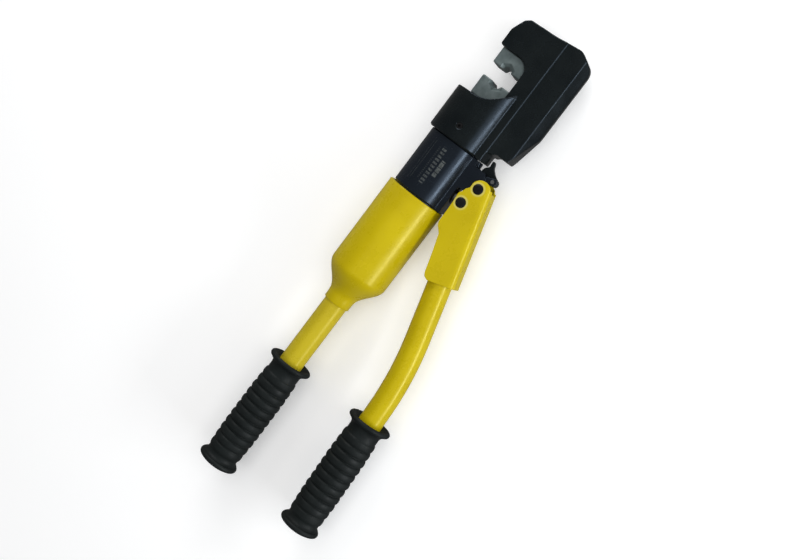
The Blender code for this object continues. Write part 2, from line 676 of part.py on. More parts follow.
def make_head(mat):
    collar = turned("c_head", [(482.0, 0), (482.0, COLLAR_R), (COLLAR_REAR + 1.5, COLLAR_R),
                               (COLLAR_REAR, COLLAR_R - 1.5), (COLLAR_REAR, 0)], steps=48)
    curve = mouth_curve()
    beyond = curve[:-1] + [(curve[-2][0] + 40.0, curve[-2][1] - 40.0), (600.0, -60.0), (600.0, 60.0)]
    cut(collar, extruded("collar_trim", beyond, 60.0))
    slab = extruded("slab_guide", head_outline(), 30.0)
    section = extruded("section_guide", head_section(), 120.0, AXIAL, (470.0, 0, 0))
    intersect(slab, section)
    join(collar, slab)
    throat = curve + rounded([(curve[-1][0] + 5, THROAT_FLOOR, 0),
                              (JAW_SEAT, THROAT_FLOOR, THROAT_CORNER_R), (JAW_SEAT, 60.0, 0)], steps=5)
    root = ring("root_trim", 410.6, 380.0, 60.0, ROOT_R)
    cut(collar,
        extruded("throat_trim", throat, 60.0),
        block("die_slot", (MOUTH_X, THROAT_FLOOR, -DIE_SLOT_HALF), (490.0, 60.0, DIE_SLOT_HALF)),
        root,
        round_bar("nose_bore", (380.0, 0, 0), (1, 0, 0), COLLAR_WALL - 380.0, COLLAR_BORE_R,
                  steps=ROUND_STEPS),
        round_bar("rod_bore", (430.0, 0, 0), (1, 0, 0), 52.0, ROD_R + 0.3, steps=ROUND_STEPS),
        ring("collar_groove", 431.6, 428.4, 28.3, COLLAR_BORE_R - 1.0, steps=32),
        round_bar("screw_hole", (414.5, 0, 20.0), (0, 0, 1), 30.0, 3.2, steps=16),
        round_bar("detent_hole", (498.0, 8.5, 0), (1, 0, 0), 12.0, 2.2, steps=16))
    return finish(collar, mat, head)


def make_head_fittings(steel):
    finish(wire_ring("head_retaining_ring", 430.0, 26.75, 1.2), steel, tool)
    screw = round_bar("head_set_screw", (414.5, 0, 27.4), (0, 0, 1), 5.2, 3.0, steps=16)
    cut(screw, round_bar("hex_socket", (414.5, 0, 30.2), (0, 0, 1), 5.0, 1.5, steps=6))
    finish(screw, steel, head)
    finish(round_bar("upper_die_detent", (498.4, 8.5, 0), (1, 0, 0), 10.6, 2.0, steps=16), steel, head)


def die_outline(base, land, corner):
    """Half-hexagon die between its seat and its land; corner rounds the throat side."""
    way = 1.0 if land > base else -1.0
    depth = HEX_SIDE * math.sqrt(3) / 2
    notch = [(land, HEX_SIDE, 0), (land - way * depth, HEX_SIDE / 2, 0),
             (land - way * depth, -HEX_SIDE / 2, 0), (land, -HEX_SIDE, 0)]
    corners = [(base, DIE_HIGH_Y, 0), (land, DIE_HIGH_Y, 0)] + notch
    corners += [(land, DIE_LOW_Y, 0), (base, DIE_LOW_Y, corner)]
    return rounded(corners, steps=4)


def flares(name, land):
    """Six-sided cones that open both ends of a die's half hexagon."""
    near = DIE_HALF_THICKNESS + 2.0
    deep = FLARE + 4.0
    wide = HEX_SIDE + FLARE + 2.0
    cones = []
    for way in (1, -1):
        cones.append(round_bar(name, (land, 0, way * near), (0, 0, -way), deep, wide,
                               end_radius=wide - deep, steps=6))
    return cones


def make_dies(mat, steel):
    upper = extruded("upper_die", die_outline(JAW_SEAT - GAP, UPPER_DIE_LAND, THROAT_CORNER_R),
                     DIE_HALF_THICKNESS)
    cut(add_bevel(upper, DIE_BEVEL, angle=50), *flares("upper_flare", UPPER_DIE_LAND),
        round_bar("upper_die_hole", (497.9, 8.5, 0), (1, 0, 0), 12.0, 2.2, steps=16))
    finish(upper, mat, head)
    lower = extruded("lower_die", die_outline(LOWER_DIE_BASE, LOWER_DIE_LAND, 0), DIE_HALF_THICKNESS)
    cut(add_bevel(lower, DIE_BEVEL, angle=50), *flares("lower_flare", LOWER_DIE_LAND),
        round_bar("lower_die_hole", (440.0, 0, 0), (1, 0, 0), 12.0, 3.2, steps=16))
    finish(lower, mat, ram_body)
    finish(round_bar("lower_die_detent", (441.0, 0, 0), (1, 0, 0), 10.6, 3.0, steps=16), steel, ram_body)


def make_ram(steel, seal):
    profile = [(ROD_FRONT, 0), (ROD_FRONT, ROD_R - 0.6), (ROD_FRONT - 0.6, ROD_R), (PISTON_FRONT, ROD_R),
               (PISTON_FRONT, BORE_R - 0.15), (387.0, BORE_R - 0.15), (387.0, 20.0), (382.6, 20.0),
               (382.6, BORE_R - 0.15), (PISTON_REAR, BORE_R - 0.15), (PISTON_REAR, 0)]
    ram = turned("ram", profile)
    cut(ram, round_bar("ram_die_hole", (440.6, 0, 0), (1, 0, 0), 12.0, 3.2, steps=16))
    finish(ram, steel, ram_body)
    finish(ring("piston_seal", 386.7, 382.9, BORE_R - 0.15, 20.2), seal, ram_body)
    finish(ring("ram_gland", 436.7, 426.0, BORE_R - 0.15, ROD_R + 0.25), steel, tool)
    spring = coil("return_spring", (PISTON_FRONT + 0.3, 0, 0), (1, 0, 0), 34.2, 18.9, 1.3, 5,
                  per_turn=14, resolution=0)
    finish(spring, steel, ram_body)


# ---------------------------------------------------------------- assembly
clear_scene()
parts = new_collection("crimping_tool")
cutters = new_collection("cutters")
tool = new_empty("tool_frame", (0, 0, 0))
head = new_empty("head_axis", (COLLAR_REAR, 0, 0), tool)
ram_body = new_empty("ram_axis", (PISTON_REAR, 0, 0), head)
moving = new_empty("fulcrum_axis", (FULCRUM[0], FULCRUM[1], 0), tool)
plunger_body = new_empty("plunger_axis", (PLUNGER_X, -5.0, 0), tool)
release = new_empty("release_axis", (LEVER_PIVOT[0], LEVER_PIVOT[1], 0), tool)
valve_pin = new_empty("valve_pin_axis", (378.3, RELEASE_Y, 0), tool)

yellow_paint = material("yellow_paint", YELLOW, 0.32, 0.0)
black_paint = material("black_paint", BLACK_PAINT, 0.42, 0.0)
cylinder_paint = material("cylinder_paint", BLUE_BLACK, 0.30, 0.0)
grip_rubber = material("grip_rubber", RUBBER, 0.62, 0.0)
bright_steel = material("bright_steel", STEEL, 0.25, 1.0)
dark_steel = material("die_steel", DIE_STEEL, 0.40, 1.0)
valve_brass = material("valve_brass", BRASS, 0.35, 1.0)
seal_rubber = material("seal_rubber", SEAL, 0.60, 0.0)

make_cylinder_body(cylinder_paint)
make_valves(bright_steel, valve_brass)
make_pump_seals(black_paint, seal_rubber)
make_reservoir(yellow_paint, seal_rubber, grip_rubber, bright_steel)
make_handles(yellow_paint, grip_rubber)
make_bracket(yellow_paint)
make_pivot_pin("drive_pin", DRIVE_PIN, black_paint, moving)
make_pivot_pin("fulcrum_pin", FULCRUM, black_paint, tool)
make_plunger(bright_steel)
make_release(black_paint, bright_steel)
make_head(black_paint)
make_head_fittings(bright_steel)
make_dies(dark_steel, bright_steel)
make_ram(bright_steel, seal_rubber)
bpy.context.view_layer.update()
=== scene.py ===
"""Looks of the hydraulic crimping tool: fine meshes and finishes around the CAD frame.

Sizes are in millimetres in the tool frame: X along the cylinder towards the
head, Y to the open side of the C, Z along the handle pivots.  TOOL_ORIGIN,
which comes from the head's swivel joint, turns them into the row frame.
"""
import json
import math

import bmesh
import bpy
from mathutils import Matrix, Vector


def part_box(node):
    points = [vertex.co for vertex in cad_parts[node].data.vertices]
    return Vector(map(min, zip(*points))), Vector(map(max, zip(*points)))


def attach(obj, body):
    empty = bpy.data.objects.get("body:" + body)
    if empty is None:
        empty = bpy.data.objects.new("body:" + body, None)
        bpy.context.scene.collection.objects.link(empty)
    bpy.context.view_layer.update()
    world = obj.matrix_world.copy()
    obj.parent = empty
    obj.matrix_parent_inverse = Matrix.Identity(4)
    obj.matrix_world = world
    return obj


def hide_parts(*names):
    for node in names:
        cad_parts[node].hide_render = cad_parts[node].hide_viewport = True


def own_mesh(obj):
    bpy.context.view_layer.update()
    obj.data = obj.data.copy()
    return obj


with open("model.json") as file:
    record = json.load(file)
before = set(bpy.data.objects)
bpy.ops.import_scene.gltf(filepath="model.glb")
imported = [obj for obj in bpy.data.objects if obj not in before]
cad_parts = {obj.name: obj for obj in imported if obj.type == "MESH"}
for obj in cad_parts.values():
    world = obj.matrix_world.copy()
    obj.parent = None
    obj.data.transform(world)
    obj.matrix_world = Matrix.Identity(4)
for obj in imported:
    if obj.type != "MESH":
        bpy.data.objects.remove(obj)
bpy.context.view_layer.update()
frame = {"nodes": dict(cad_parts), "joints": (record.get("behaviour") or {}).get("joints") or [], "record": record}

MM = 0.001
COLLAR_REAR = 399.0
JOINTS = {joint["name"]: joint for joint in frame["joints"]}
TOOL_ORIGIN = Vector(JOINTS["head_swivel"]["pos_m"]) / MM - Vector((COLLAR_REAR, 0, 0))
TO_ROW = Matrix.Translation(TOOL_ORIGIN * MM) @ Matrix.Scale(MM, 4)


def in_tool(point_m):
    """Row-frame metres to tool-frame millimetres."""
    return Vector(point_m) / MM - TOOL_ORIGIN


def tool_box(node):
    low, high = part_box(node)
    return in_tool(low), in_tool(high)


# driving sizes, read from the frame where a CAD node has them
ROUND_STEPS = 128
SMALL_STEPS = 48
CYLINDER_R = 28.3
CYLINDER_REAR = 335.6
CYLINDER_SHOULDER = 398.6
NOSE_R = 26.6
NOSE_FRONT = tool_box("cylinder_body")[1].x
BORE_R = 22.3
BORE_BOTTOM = 373.0
SPIGOT_R = 27.2
SPIGOT_REAR = 316.0
TANK_NOSE_R = 18.5
TANK_NOSE_REAR = tool_box("cylinder_body")[0].x
BOSS_HALF_WIDTH = 12.4
BOSS_LOW = -31.8
BOSS_FRONT = 398.7
RIB_LOW = -34.8
RIB_HALF = 2.2
LUG_LEFT = 366.5

TANK_REAR = tool_box("reservoir_shell")[0].x
TANK_FRONT = tool_box("reservoir_shell")[1].x
TANK_R = 32.0
SHOULDER_FRONT = 237.5
SHOULDER_LENGTH = 30.5
SHOULDER_END_R = 14.7
SHOULDER_STEPS = 24
NECK_R = 14.4
TUBE_R = 12.7
TUBE_BORE_R = 10.6
FIXED_TUBE_REAR = tool_box("fixed_handle_tube")[0].x
FIXED_TUBE_END = tool_box("fixed_handle_tube")[1].x

GRIP_LENGTH = 134.0
GRIP_RIBS = 11
GRIP_RIB_PITCH = 9.15
GRIP_RIB_R = 19.6
GRIP_VALLEY_R = 17.3
GRIP_NECK_R = 17.1
GRIP_END_R = 21.9
GRIP_GUARD_R = 23.9
FIXED_GRIP_START = tool_box("fixed_handle_grip")[0].x

COLLAR_R = 33.1
COLLAR_BORE_R = 26.9
COLLAR_WALL = 438.0
MOUTH_X = 447.2
MOUTH_Y = 9.0
MOUTH_R = 30.0
HEAD_HALF = 20.0
THROAT_FLOOR = -16.2
JAW_SEAT = 502.0
THROAT_CORNER_R = 13.0
DIE_SLOT_HALF = 15.3
ROOT_R = 39.2
ROD_R = 15.6
DIE_HALF_THICKNESS = 14.8
DIE_LOW_Y = -15.8
DIE_HIGH_Y = 16.9
LOWER_DIE_BASE = tool_box("lower_die")[0].x
LOWER_DIE_LAND = tool_box("lower_die")[1].x
UPPER_DIE_LAND = tool_box("upper_die")[0].x
HEX_SIDE = 4.9
FLARE = 3.8

FULCRUM = tuple(in_tool(JOINTS["handle_pump"]["pos_m"]).xy)
LEVER_PIVOT = tuple(in_tool(JOINTS["release_press"]["pos_m"]).xy)
DRIVE_PIN = (356.0, -43.4)
PIN_R = 4.0
BRACKET_ANGLE = math.radians(16.0)
BRACKET_HALF = 16.2
BRACKET_WALL = 3.2
BRACKET_LENGTH = 101.8
BRACKET_END_R = 10.4
FOLD_OUTER_R = 6.5
FOLD_INNER_R = 3.3
WEB_NOTCH_HALF = 9.8
WEB_LOW = (283.9, -90.05)
PLUNGER_X = 357.5
PLUNGER_R = 6.05
SLOT_REACH = 2.3
RELEASE_Y = -39.5

HANDLE_RUN_ANGLE = math.radians(15.6)
HANDLE_GRIP_ANGLE = math.radians(2.6)
HANDLE_CORNER = (182.4, -100.15)
HANDLE_BEND_R = 350.0
HANDLE_INNER_END = 322.0
MOVING_GRIP_START = -6.0


# ---------------------------------------------------------------- outlines
def arc(centre, radius, start, end, steps):
    """Points on an arc in degrees, both ends included."""
    points = []
    for i in range(steps + 1):
        a = math.radians(start + (end - start) * i / steps)
        points.append((centre[0] + radius * math.cos(a), centre[1] + radius * math.sin(a)))
    return points


def rounded(corners, steps=10):
    """Outline through corners (x, y, radius), each rounded by an arc."""
    outline = []
    count = len(corners)
    for i, (x, y, radius) in enumerate(corners):
        here = Vector((x, y))
        if radius <= 0:
            outline.append((x, y))
            continue
        before = (Vector(corners[i - 1][:2]) - here).normalized()
        after = (Vector(corners[(i + 1) % count][:2]) - here).normalized()
        half = before.angle(after) / 2
        centre = here + (before + after).normalized() * (radius / math.sin(half))
        first = here + before * (radius / math.tan(half)) - centre
        last = here + after * (radius / math.tan(half)) - centre
        sweep = first.angle_signed(last)
        for k in range(steps + 1):
            point = centre + Matrix.Rotation(-sweep * k / steps, 2) @ first
            outline.append((point.x, point.y))
    return outline


def to_direction(x_axis, y_axis):
    """Rotation whose local x and y run along the two given directions."""
    x_axis = Vector(x_axis).normalized()
    y_axis = Vector(y_axis).normalized()
    return Matrix((x_axis, y_axis, x_axis.cross(y_axis))).transposed()


AXIAL = to_direction((0, 1, 0), (0, 0, 1))
FLAT = Matrix.Identity(3)


# ---------------------------------------------------------------- mesh making
def new_object(name, mesh):
    obj = bpy.data.objects.new(name, mesh)
    bpy.context.scene.collection.objects.link(obj)
    return obj


def from_bmesh(name, bm, rotation=FLAT, centre=(0, 0, 0)):
    """Object in the row frame from a bmesh in local millimetres."""
    mesh = bpy.data.meshes.new(name)
    bmesh.ops.recalc_face_normals(bm, faces=bm.faces)
    bm.to_mesh(mesh)
    bm.free()
    mesh.transform(TO_ROW @ Matrix.Translation(Vector(centre)) @ rotation.to_4x4())
    return new_object(name, mesh)


def turned(name, profile, start=(0, 0, 0), heading=0.0, steps=ROUND_STEPS, closed=False, upright=False):
    """Turned piece about X, a line turned by heading, or Z when upright."""
    bm = bmesh.new()
    verts = [bm.verts.new((radius, 0.0, axial)) for axial, radius in profile]
    edges = [bm.edges.new(pair) for pair in zip(verts, verts[1:])]
    if closed:
        edges.append(bm.edges.new((verts[-1], verts[0])))
    bmesh.ops.spin(bm, geom=verts + edges, cent=(0, 0, 0), axis=(0, 0, 1), angle=2 * math.pi,
                   steps=steps, use_merge=True)
    bmesh.ops.remove_doubles(bm, verts=bm.verts, dist=0.004)
    rotation = Matrix.Rotation(heading, 3, "Z") @ Matrix.Rotation(math.pi / 2, 3, "Y")
    return from_bmesh(name, bm, FLAT if upright else rotation, start)


def ring(name, front, rear, outer, inner):
    profile = [(front, inner), (front, outer), (rear, outer), (rear, inner)]
    return turned(name, profile, closed=True)


def round_bar(name, start, direction, length, radius, steps=SMALL_STEPS):
    bm = bmesh.new()
    bmesh.ops.create_cone(bm, cap_ends=True, segments=steps, radius1=radius, radius2=radius, depth=length)
    bmesh.ops.translate(bm, verts=bm.verts, vec=(0, 0, length / 2))
    rotation = Vector((0, 0, 1)).rotation_difference(Vector(direction)).to_matrix()
    return from_bmesh(name, bm, rotation, start)


def block(name, low, high):
    bm = bmesh.new()
    bmesh.ops.create_cube(bm, size=1.0)
    bmesh.ops.scale(bm, verts=bm.verts, vec=Vector(high) - Vector(low))
    return from_bmesh(name, bm, FLAT, (Vector(low) + Vector(high)) / 2)


def extruded(name, outline, half_length, rotation=FLAT, centre=(0, 0, 0)):
    """Flat outline in the local x-y plane, extruded both ways along local z."""
    bm = bmesh.new()
    face = bm.faces.new([bm.verts.new((x, y, -half_length)) for x, y in outline])
    top = bmesh.ops.extrude_face_region(bm, geom=[face])
    lifted = [item for item in top["geom"] if isinstance(item, bmesh.types.BMVert)]
    bmesh.ops.translate(bm, verts=lifted, vec=(0, 0, 2 * half_length))
    return from_bmesh(name, bm, rotation, centre)


def tube_along(name, points, radius, steps=64):
    """Tube with square ends along a row of points in the z = 0 plane."""
    bm = bmesh.new()
    loops = []
    count = len(points)
    for i, point in enumerate(points):
        here = Vector(point)
        back = Vector(points[max(i - 1, 0)])
        on = Vector(points[min(i + 1, count - 1)])
        along = (on - back).normalized()
        side = Vector((-along.y, along.x, 0.0))
        loop = []
        for k in range(steps):
            a = 2 * math.pi * k / steps
            place = here + radius * (math.cos(a) * side + math.sin(a) * Vector((0, 0, 1)))
            loop.append(bm.verts.new(place))
        loops.append(loop)
    for one, two in zip(loops, loops[1:]):
        for k in range(steps):
            bm.faces.new((one[k], one[(k + 1) % steps], two[(k + 1) % steps], two[k]))
    bm.faces.new(loops[0])
    bm.faces.new(loops[-1])
    return from_bmesh(name, bm)


def bake(obj):
    """Apply the object's modifiers to its mesh."""
    bpy.context.view_layer.update()
    graph = bpy.context.evaluated_depsgraph_get()
    mesh = bpy.data.meshes.new_from_object(obj.evaluated_get(graph))
    obj.modifiers.clear()
    obj.data = mesh
    return obj


def combine(obj, others, operation):
    for other in others:
        boolean = obj.modifiers.new(operation.title(), "BOOLEAN")
        boolean.operation = operation
        boolean.object = other
        boolean.solver = "EXACT"
    bake(obj)
    for other in others:
        bpy.data.objects.remove(other, do_unlink=True)
    return obj


def cut(obj, *others):
    return combine(obj, others, "DIFFERENCE")


def join(obj, *others):
    return combine(obj, others, "UNION")


def intersect(obj, *others):
    return combine(obj, others, "INTERSECT")


def soften(obj, voxel, iterations):
    """Even mesh with small rounded edges, as a forged or cast surface has."""
    remesh = obj.modifiers.new("Remesh", "REMESH")
    remesh.mode = "VOXEL"
    remesh.voxel_size = voxel * MM
    remesh.use_smooth_shade = True
    smooth = obj.modifiers.new("Smooth", "SMOOTH")
    smooth.factor = 0.5
    smooth.iterations = iterations
    bake(obj)
    obj.data.shade_smooth()
    return obj


def bevelled(obj, width, angle=30, segments=3):
    bevel = obj.modifiers.new("Edges", "BEVEL")
    bevel.width = width * MM
    bevel.segments = segments
    bevel.limit_method = "ANGLE"
    bevel.angle_limit = math.radians(angle)
    bevel.harden_normals = True
    bake(obj)
    obj.data.shade_smooth()
    obj.data.set_sharp_from_angle(angle=math.radians(40))
    return obj


def smooth(obj, angle=32):
    obj.data.shade_smooth()
    obj.data.set_sharp_from_angle(angle=math.radians(angle))
    return obj


def fit_piece(obj, mat, body, slot, *nodes):
    """Finish, body, record slot (not used) and the CAD nodes that a piece stands for."""
    obj.data.materials.clear()
    obj.data.materials.append(mat)
    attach(obj, body)
    if nodes:
        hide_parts(*nodes)
    return obj


# ---------------------------------------------------------------- finishes
class Finish:
    """Small builder around one Principled material."""

    def __init__(self, name, colour, roughness, metallic=0.0):
        self.mat = bpy.data.materials.new(name)
        self.mat.use_nodes = True
        self.tree = self.mat.node_tree
        self.shader = self.tree.nodes["Principled BSDF"]
        self.shader.inputs["Base Color"].default_value = (*colour, 1.0)
        self.shader.inputs["Roughness"].default_value = roughness
        self.shader.inputs["Metallic"].default_value = metallic
        self.place = self.tree.nodes.new("ShaderNodeTexCoord").outputs["Object"]

    def node(self, kind, **values):
        node = self.tree.nodes.new(kind)
        for key, value in values.items():
            setattr(node, key, value)
        return node

    def link(self, output, target):
        self.tree.links.new(output, target)

    def noise(self, scale, detail=4.0, rough=0.55, stretch=None):
        noise = self.node("ShaderNodeTexNoise")
        noise.inputs["Scale"].default_value = scale
        noise.inputs["Detail"].default_value = detail
        noise.inputs["Roughness"].default_value = rough
        source = self.place
        if stretch:
            mapping = self.node("ShaderNodeMapping")
            mapping.inputs["Scale"].default_value = stretch
            self.link(self.place, mapping.inputs["Vector"])
            source = mapping.outputs["Vector"]
        self.link(source, noise.inputs["Vector"])
        return noise.outputs["Fac"]

    def ramp(self, factor, stops):
        ramp = self.node("ShaderNodeValToRGB")
        elements = ramp.color_ramp.elements
        while len(elements) < len(stops):
            elements.new(0.5)
        for element, (position, colour) in zip(elements, stops):
            element.position = position
            element.color = (*colour, 1.0) if len(colour) == 3 else colour
        self.link(factor, ramp.inputs["Fac"])
        return ramp.outputs["Color"]

    def spread(self, factor, low, high, start=0.3, end=0.7):
        spread = self.node("ShaderNodeMapRange")
        spread.inputs["From Min"].default_value = start
        spread.inputs["From Max"].default_value = end
        spread.inputs["To Min"].default_value = low
        spread.inputs["To Max"].default_value = high
        self.link(factor, spread.inputs["Value"])
        return spread.outputs["Result"]

    def mix(self, factor, first, second):
        mix = self.node("ShaderNodeMix", data_type="RGBA")
        for socket, value in ((mix.inputs["Factor"], factor), (mix.inputs["A"], first),
                              (mix.inputs["B"], second)):
            if isinstance(value, bpy.types.NodeSocket):
                self.link(value, socket)
            elif isinstance(value, tuple):
                socket.default_value = (*value, 1.0)
            else:
                socket.default_value = value
        return mix.outputs["Result"]

    def maths(self, operation, first, second=0.0, third=None):
        node = self.node("ShaderNodeMath", operation=operation)
        for socket, value in zip(node.inputs, (first, second, third)):
            if value is None:
                continue
            if isinstance(value, bpy.types.NodeSocket):
                self.link(value, socket)
            else:
                socket.default_value = value
        return node.outputs["Value"]

    def edge_wear_and_sheen(self, low, high):
        """0 on flats and 1 on convex edges."""
        geometry = self.node("ShaderNodeNewGeometry")
        return self.spread(geometry.outputs["Pointiness"], 0.0, 1.0, low, high)

    def colour(self, output):
        self.link(output, self.shader.inputs["Base Color"])

    def roughness(self, output):
        self.link(output, self.shader.inputs["Roughness"])

    def bump(self, height, strength, distance):
        bump = self.node("ShaderNodeBump")
        bump.inputs["Strength"].default_value = strength
        bump.inputs["Distance"].default_value = distance * MM
        self.link(height, bump.inputs["Height"])
        previous = self.shader.inputs["Normal"]
        if previous.is_linked:
            self.link(previous.links[0].from_socket, bump.inputs["Normal"])
        self.link(bump.outputs["Normal"], previous)


# Pale rings painted round the pins' heads on the bracket, as painted highlights.
RING_INNER = 6.6
RING_OUTER = 7.8
RING_STRENGTH = 0.75


def pin_highlight_rings(f):
    """Mask of pale rings round the pins' heads on the bracket's paint: painted highlights."""
    split = f.node("ShaderNodeSeparateXYZ")
    f.link(f.place, split.inputs["Vector"])
    rings = None
    for pivot in (DRIVE_PIN, FULCRUM):
        centre = (Vector((*pivot, 0)) + TOOL_ORIGIN) * MM
        across = f.maths("SUBTRACT", split.outputs["X"], centre.x)
        along = f.maths("SUBTRACT", split.outputs["Y"], centre.y)
        reach = f.maths("SQRT", f.maths("ADD", f.maths("MULTIPLY", across, across),
                                        f.maths("MULTIPLY", along, along)))
        ring_mask = f.spread(reach, RING_STRENGTH, 0.0, RING_INNER * MM, RING_OUTER * MM)
        rings = ring_mask if rings is None else f.maths("MAXIMUM", rings, ring_mask)
    return rings


def yellow_enamel():
    """Gloss enamel: slow colour drift, orange peel, a few dull rubbed patches."""
    f = Finish("yellow_enamel", (0.54, 0.42, 0.003), 0.3)
    drift = f.noise(14.0, 3.0)
    base = f.ramp(drift, [(0.32, (0.49, 0.375, 0.002)), (0.68, (0.58, 0.455, 0.003))])
    specks = f.noise(900.0, 2.0, 0.6)
    dirt = f.spread(specks, 0.0, 0.55, 0.70, 0.78)
    dirty = f.mix(dirt, base, (0.20, 0.14, 0.01))
    # pale rings round the pin heads: painted highlights
    pin_highlighted = f.mix(pin_highlight_rings(f), dirty, (0.62, 0.55, 0.14))
    # convex edges painted paler: partly edge wear, partly a painted rim highlight
    f.colour(f.mix(f.maths("MULTIPLY", f.edge_wear_and_sheen(0.60, 0.74), 0.55), pin_highlighted, (0.72, 0.65, 0.22)))
    rubbed = f.noise(55.0, 6.0, 0.65)
    f.roughness(f.spread(rubbed, 0.22, 0.38))
    f.shader.inputs["IOR"].default_value = 1.58
    f.shader.inputs["Specular Tint"].default_value = (1.0, 0.92, 0.36, 1.0)
    f.bump(f.noise(520.0, 2.0), 0.10, 0.12)
    f.bump(f.noise(90.0, 3.0), 0.06, 0.30)
    return f.mat


def forged_black():
    """Satin black paint over a forged skin."""
    f = Finish("forged_black", (0.010, 0.011, 0.011), 0.45)
    tone = f.noise(30.0, 5.0)
    base = f.ramp(tone, [(0.30, (0.0042, 0.0055, 0.0055)), (0.72, (0.0085, 0.0105, 0.0100))])
    rub = f.maths("MULTIPLY", f.edge_wear_and_sheen(0.515, 0.56), f.spread(f.noise(160.0, 5.0), 0.0, 1.0, 0.45, 0.68))
    f.colour(f.mix(rub, base, (0.045, 0.048, 0.050)))
    f.roughness(f.spread(f.noise(70.0, 6.0, 0.6), 0.20, 0.32))
    f.shader.inputs["IOR"].default_value = 1.38
    f.shader.inputs["Specular Tint"].default_value = (0.62, 0.78, 1.0, 1.0)
    f.bump(f.noise(260.0, 5.0, 0.6), 0.16, 0.22)
    f.bump(f.noise(45.0, 3.0), 0.10, 0.5)
    return f.mat


LABEL_MIDDLE = 369.0
# angle round the cylinder and half height in radians, reach and pitch along it in metres
LABEL_ROWS = (
    {"turn": 0.49, "half": 0.016, "reach": 0.024, "pitch": 0.0015, "fill": -0.3, "strength": 0.22},
    {"turn": 0.385, "half": 0.018, "reach": 0.022, "pitch": 0.0017, "fill": -0.3, "strength": 0.28},
    {"turn": 0.13, "half": 0.030, "reach": 0.019, "pitch": 0.0021, "fill": 0.0, "strength": 0.22},
    {"turn": -0.06, "half": 0.080, "reach": 0.021, "pitch": 0.0039, "fill": -0.2, "strength": 0.60},
    {"turn": -0.29, "half": 0.075, "reach": 0.009, "pitch": 0.0060, "fill": -0.9, "strength": 0.70},
)


def label_bars(f):
    """Mask of a plain printed patch: rows of small worn bars, which say nothing."""
    split = f.node("ShaderNodeSeparateXYZ")
    f.link(f.place, split.inputs["Vector"])
    middle = TOOL_ORIGIN * MM
    along = f.maths("SUBTRACT", split.outputs["X"], middle.x)
    side = f.maths("SUBTRACT", split.outputs["Y"], middle.y)
    height = f.maths("SUBTRACT", split.outputs["Z"], middle.z)
    turn = f.maths("ARCTAN2", side, height)
    mask = None
    for row in LABEL_ROWS:
        near = f.maths("COMPARE", turn, row["turn"], row["half"])
        ends = f.maths("COMPARE", along, LABEL_MIDDLE * MM, row["reach"])
        wave = f.maths("SINE", f.maths("MULTIPLY", along, 2 * math.pi / row["pitch"]))
        bars = f.maths("MULTIPLY", f.maths("GREATER_THAN", wave, row["fill"]), row["strength"])
        bars = f.maths("MULTIPLY", f.maths("MULTIPLY", near, ends), bars)
        mask = bars if mask is None else f.maths("MAXIMUM", mask, bars)
    worn = f.spread(f.noise(600.0, 5.0, 0.7), 0.2, 1.0, 0.40, 0.60)
    return f.maths("MULTIPLY", mask, worn)


def cylinder_black():
    """Smoother blue-black paint on the turned cylinder, with faint turning marks."""
    f = Finish("cylinder_black", (0.012, 0.015, 0.022), 0.3)
    tone = f.noise(24.0, 4.0)
    base = f.ramp(tone, [(0.30, (0.0060, 0.0080, 0.0110)), (0.72, (0.0100, 0.0125, 0.0170))])
    f.colour(f.mix(label_bars(f), base, (0.135, 0.145, 0.135)))
    f.roughness(f.spread(f.noise(80.0, 6.0, 0.6), 0.20, 0.30))
    f.shader.inputs["IOR"].default_value = 1.45
    f.shader.inputs["Specular Tint"].default_value = (0.62, 0.78, 1.0, 1.0)
    f.bump(f.noise(40.0, 2.0, 0.5, stretch=(60.0, 1.0, 1.0)), 0.05, 0.10)
    f.bump(f.noise(420.0, 3.0), 0.08, 0.12)
    return f.mat


def moulded_rubber():
    """Moulded grip rubber: matt, faintly mottled, with a fine pebbled skin."""
    f = Finish("moulded_rubber", (0.011, 0.013, 0.013), 0.6)
    tone = f.noise(60.0, 5.0)
    base = f.ramp(tone, [(0.30, (0.0060, 0.0080, 0.0080)), (0.72, (0.0110, 0.0140, 0.0140))])
    f.shader.inputs["IOR"].default_value = 1.32
    dust = f.spread(f.noise(700.0, 3.0, 0.7), 0.0, 0.3, 0.62, 0.75)
    f.colour(f.mix(dust, base, (0.040, 0.043, 0.042)))
    f.roughness(f.spread(f.noise(130.0, 5.0), 0.46, 0.66))
    f.bump(f.noise(1500.0, 3.0, 0.6), 0.22, 0.10)
    f.bump(f.noise(190.0, 3.0), 0.10, 0.20)
    return f.mat


def die_steel():
    """Hardened die steel: grey-green oxide, ground marks, brighter rubbed edges."""
    f = Finish("ground_die_steel", (0.20, 0.215, 0.205), 0.42, 0.45)
    tone = f.noise(110.0, 5.0)
    base = f.ramp(tone, [(0.30, (0.100, 0.130, 0.132)), (0.72, (0.185, 0.225, 0.225))])
    f.colour(f.mix(f.edge_wear_and_sheen(0.52, 0.60), base, (0.55, 0.56, 0.55)))
    f.roughness(f.spread(f.noise(220.0, 5.0), 0.34, 0.52))
    f.bump(f.noise(120.0, 3.0, 0.6, stretch=(1.0, 12.0, 1.0)), 0.10, 0.10)
    return f.mat


def bright_steel():
    """Ground and polished steel of the rod, plunger, gland and springs."""
    f = Finish("polished_steel", (0.56, 0.57, 0.57), 0.2, 1.0)
    tone = f.noise(90.0, 4.0)
    f.colour(f.ramp(tone, [(0.30, (0.48, 0.49, 0.49)), (0.72, (0.62, 0.63, 0.63))]))
    f.roughness(f.spread(f.noise(300.0, 5.0), 0.14, 0.30))
    f.bump(f.noise(180.0, 2.0, 0.5, stretch=(14.0, 1.0, 1.0)), 0.05, 0.06)
    return f.mat


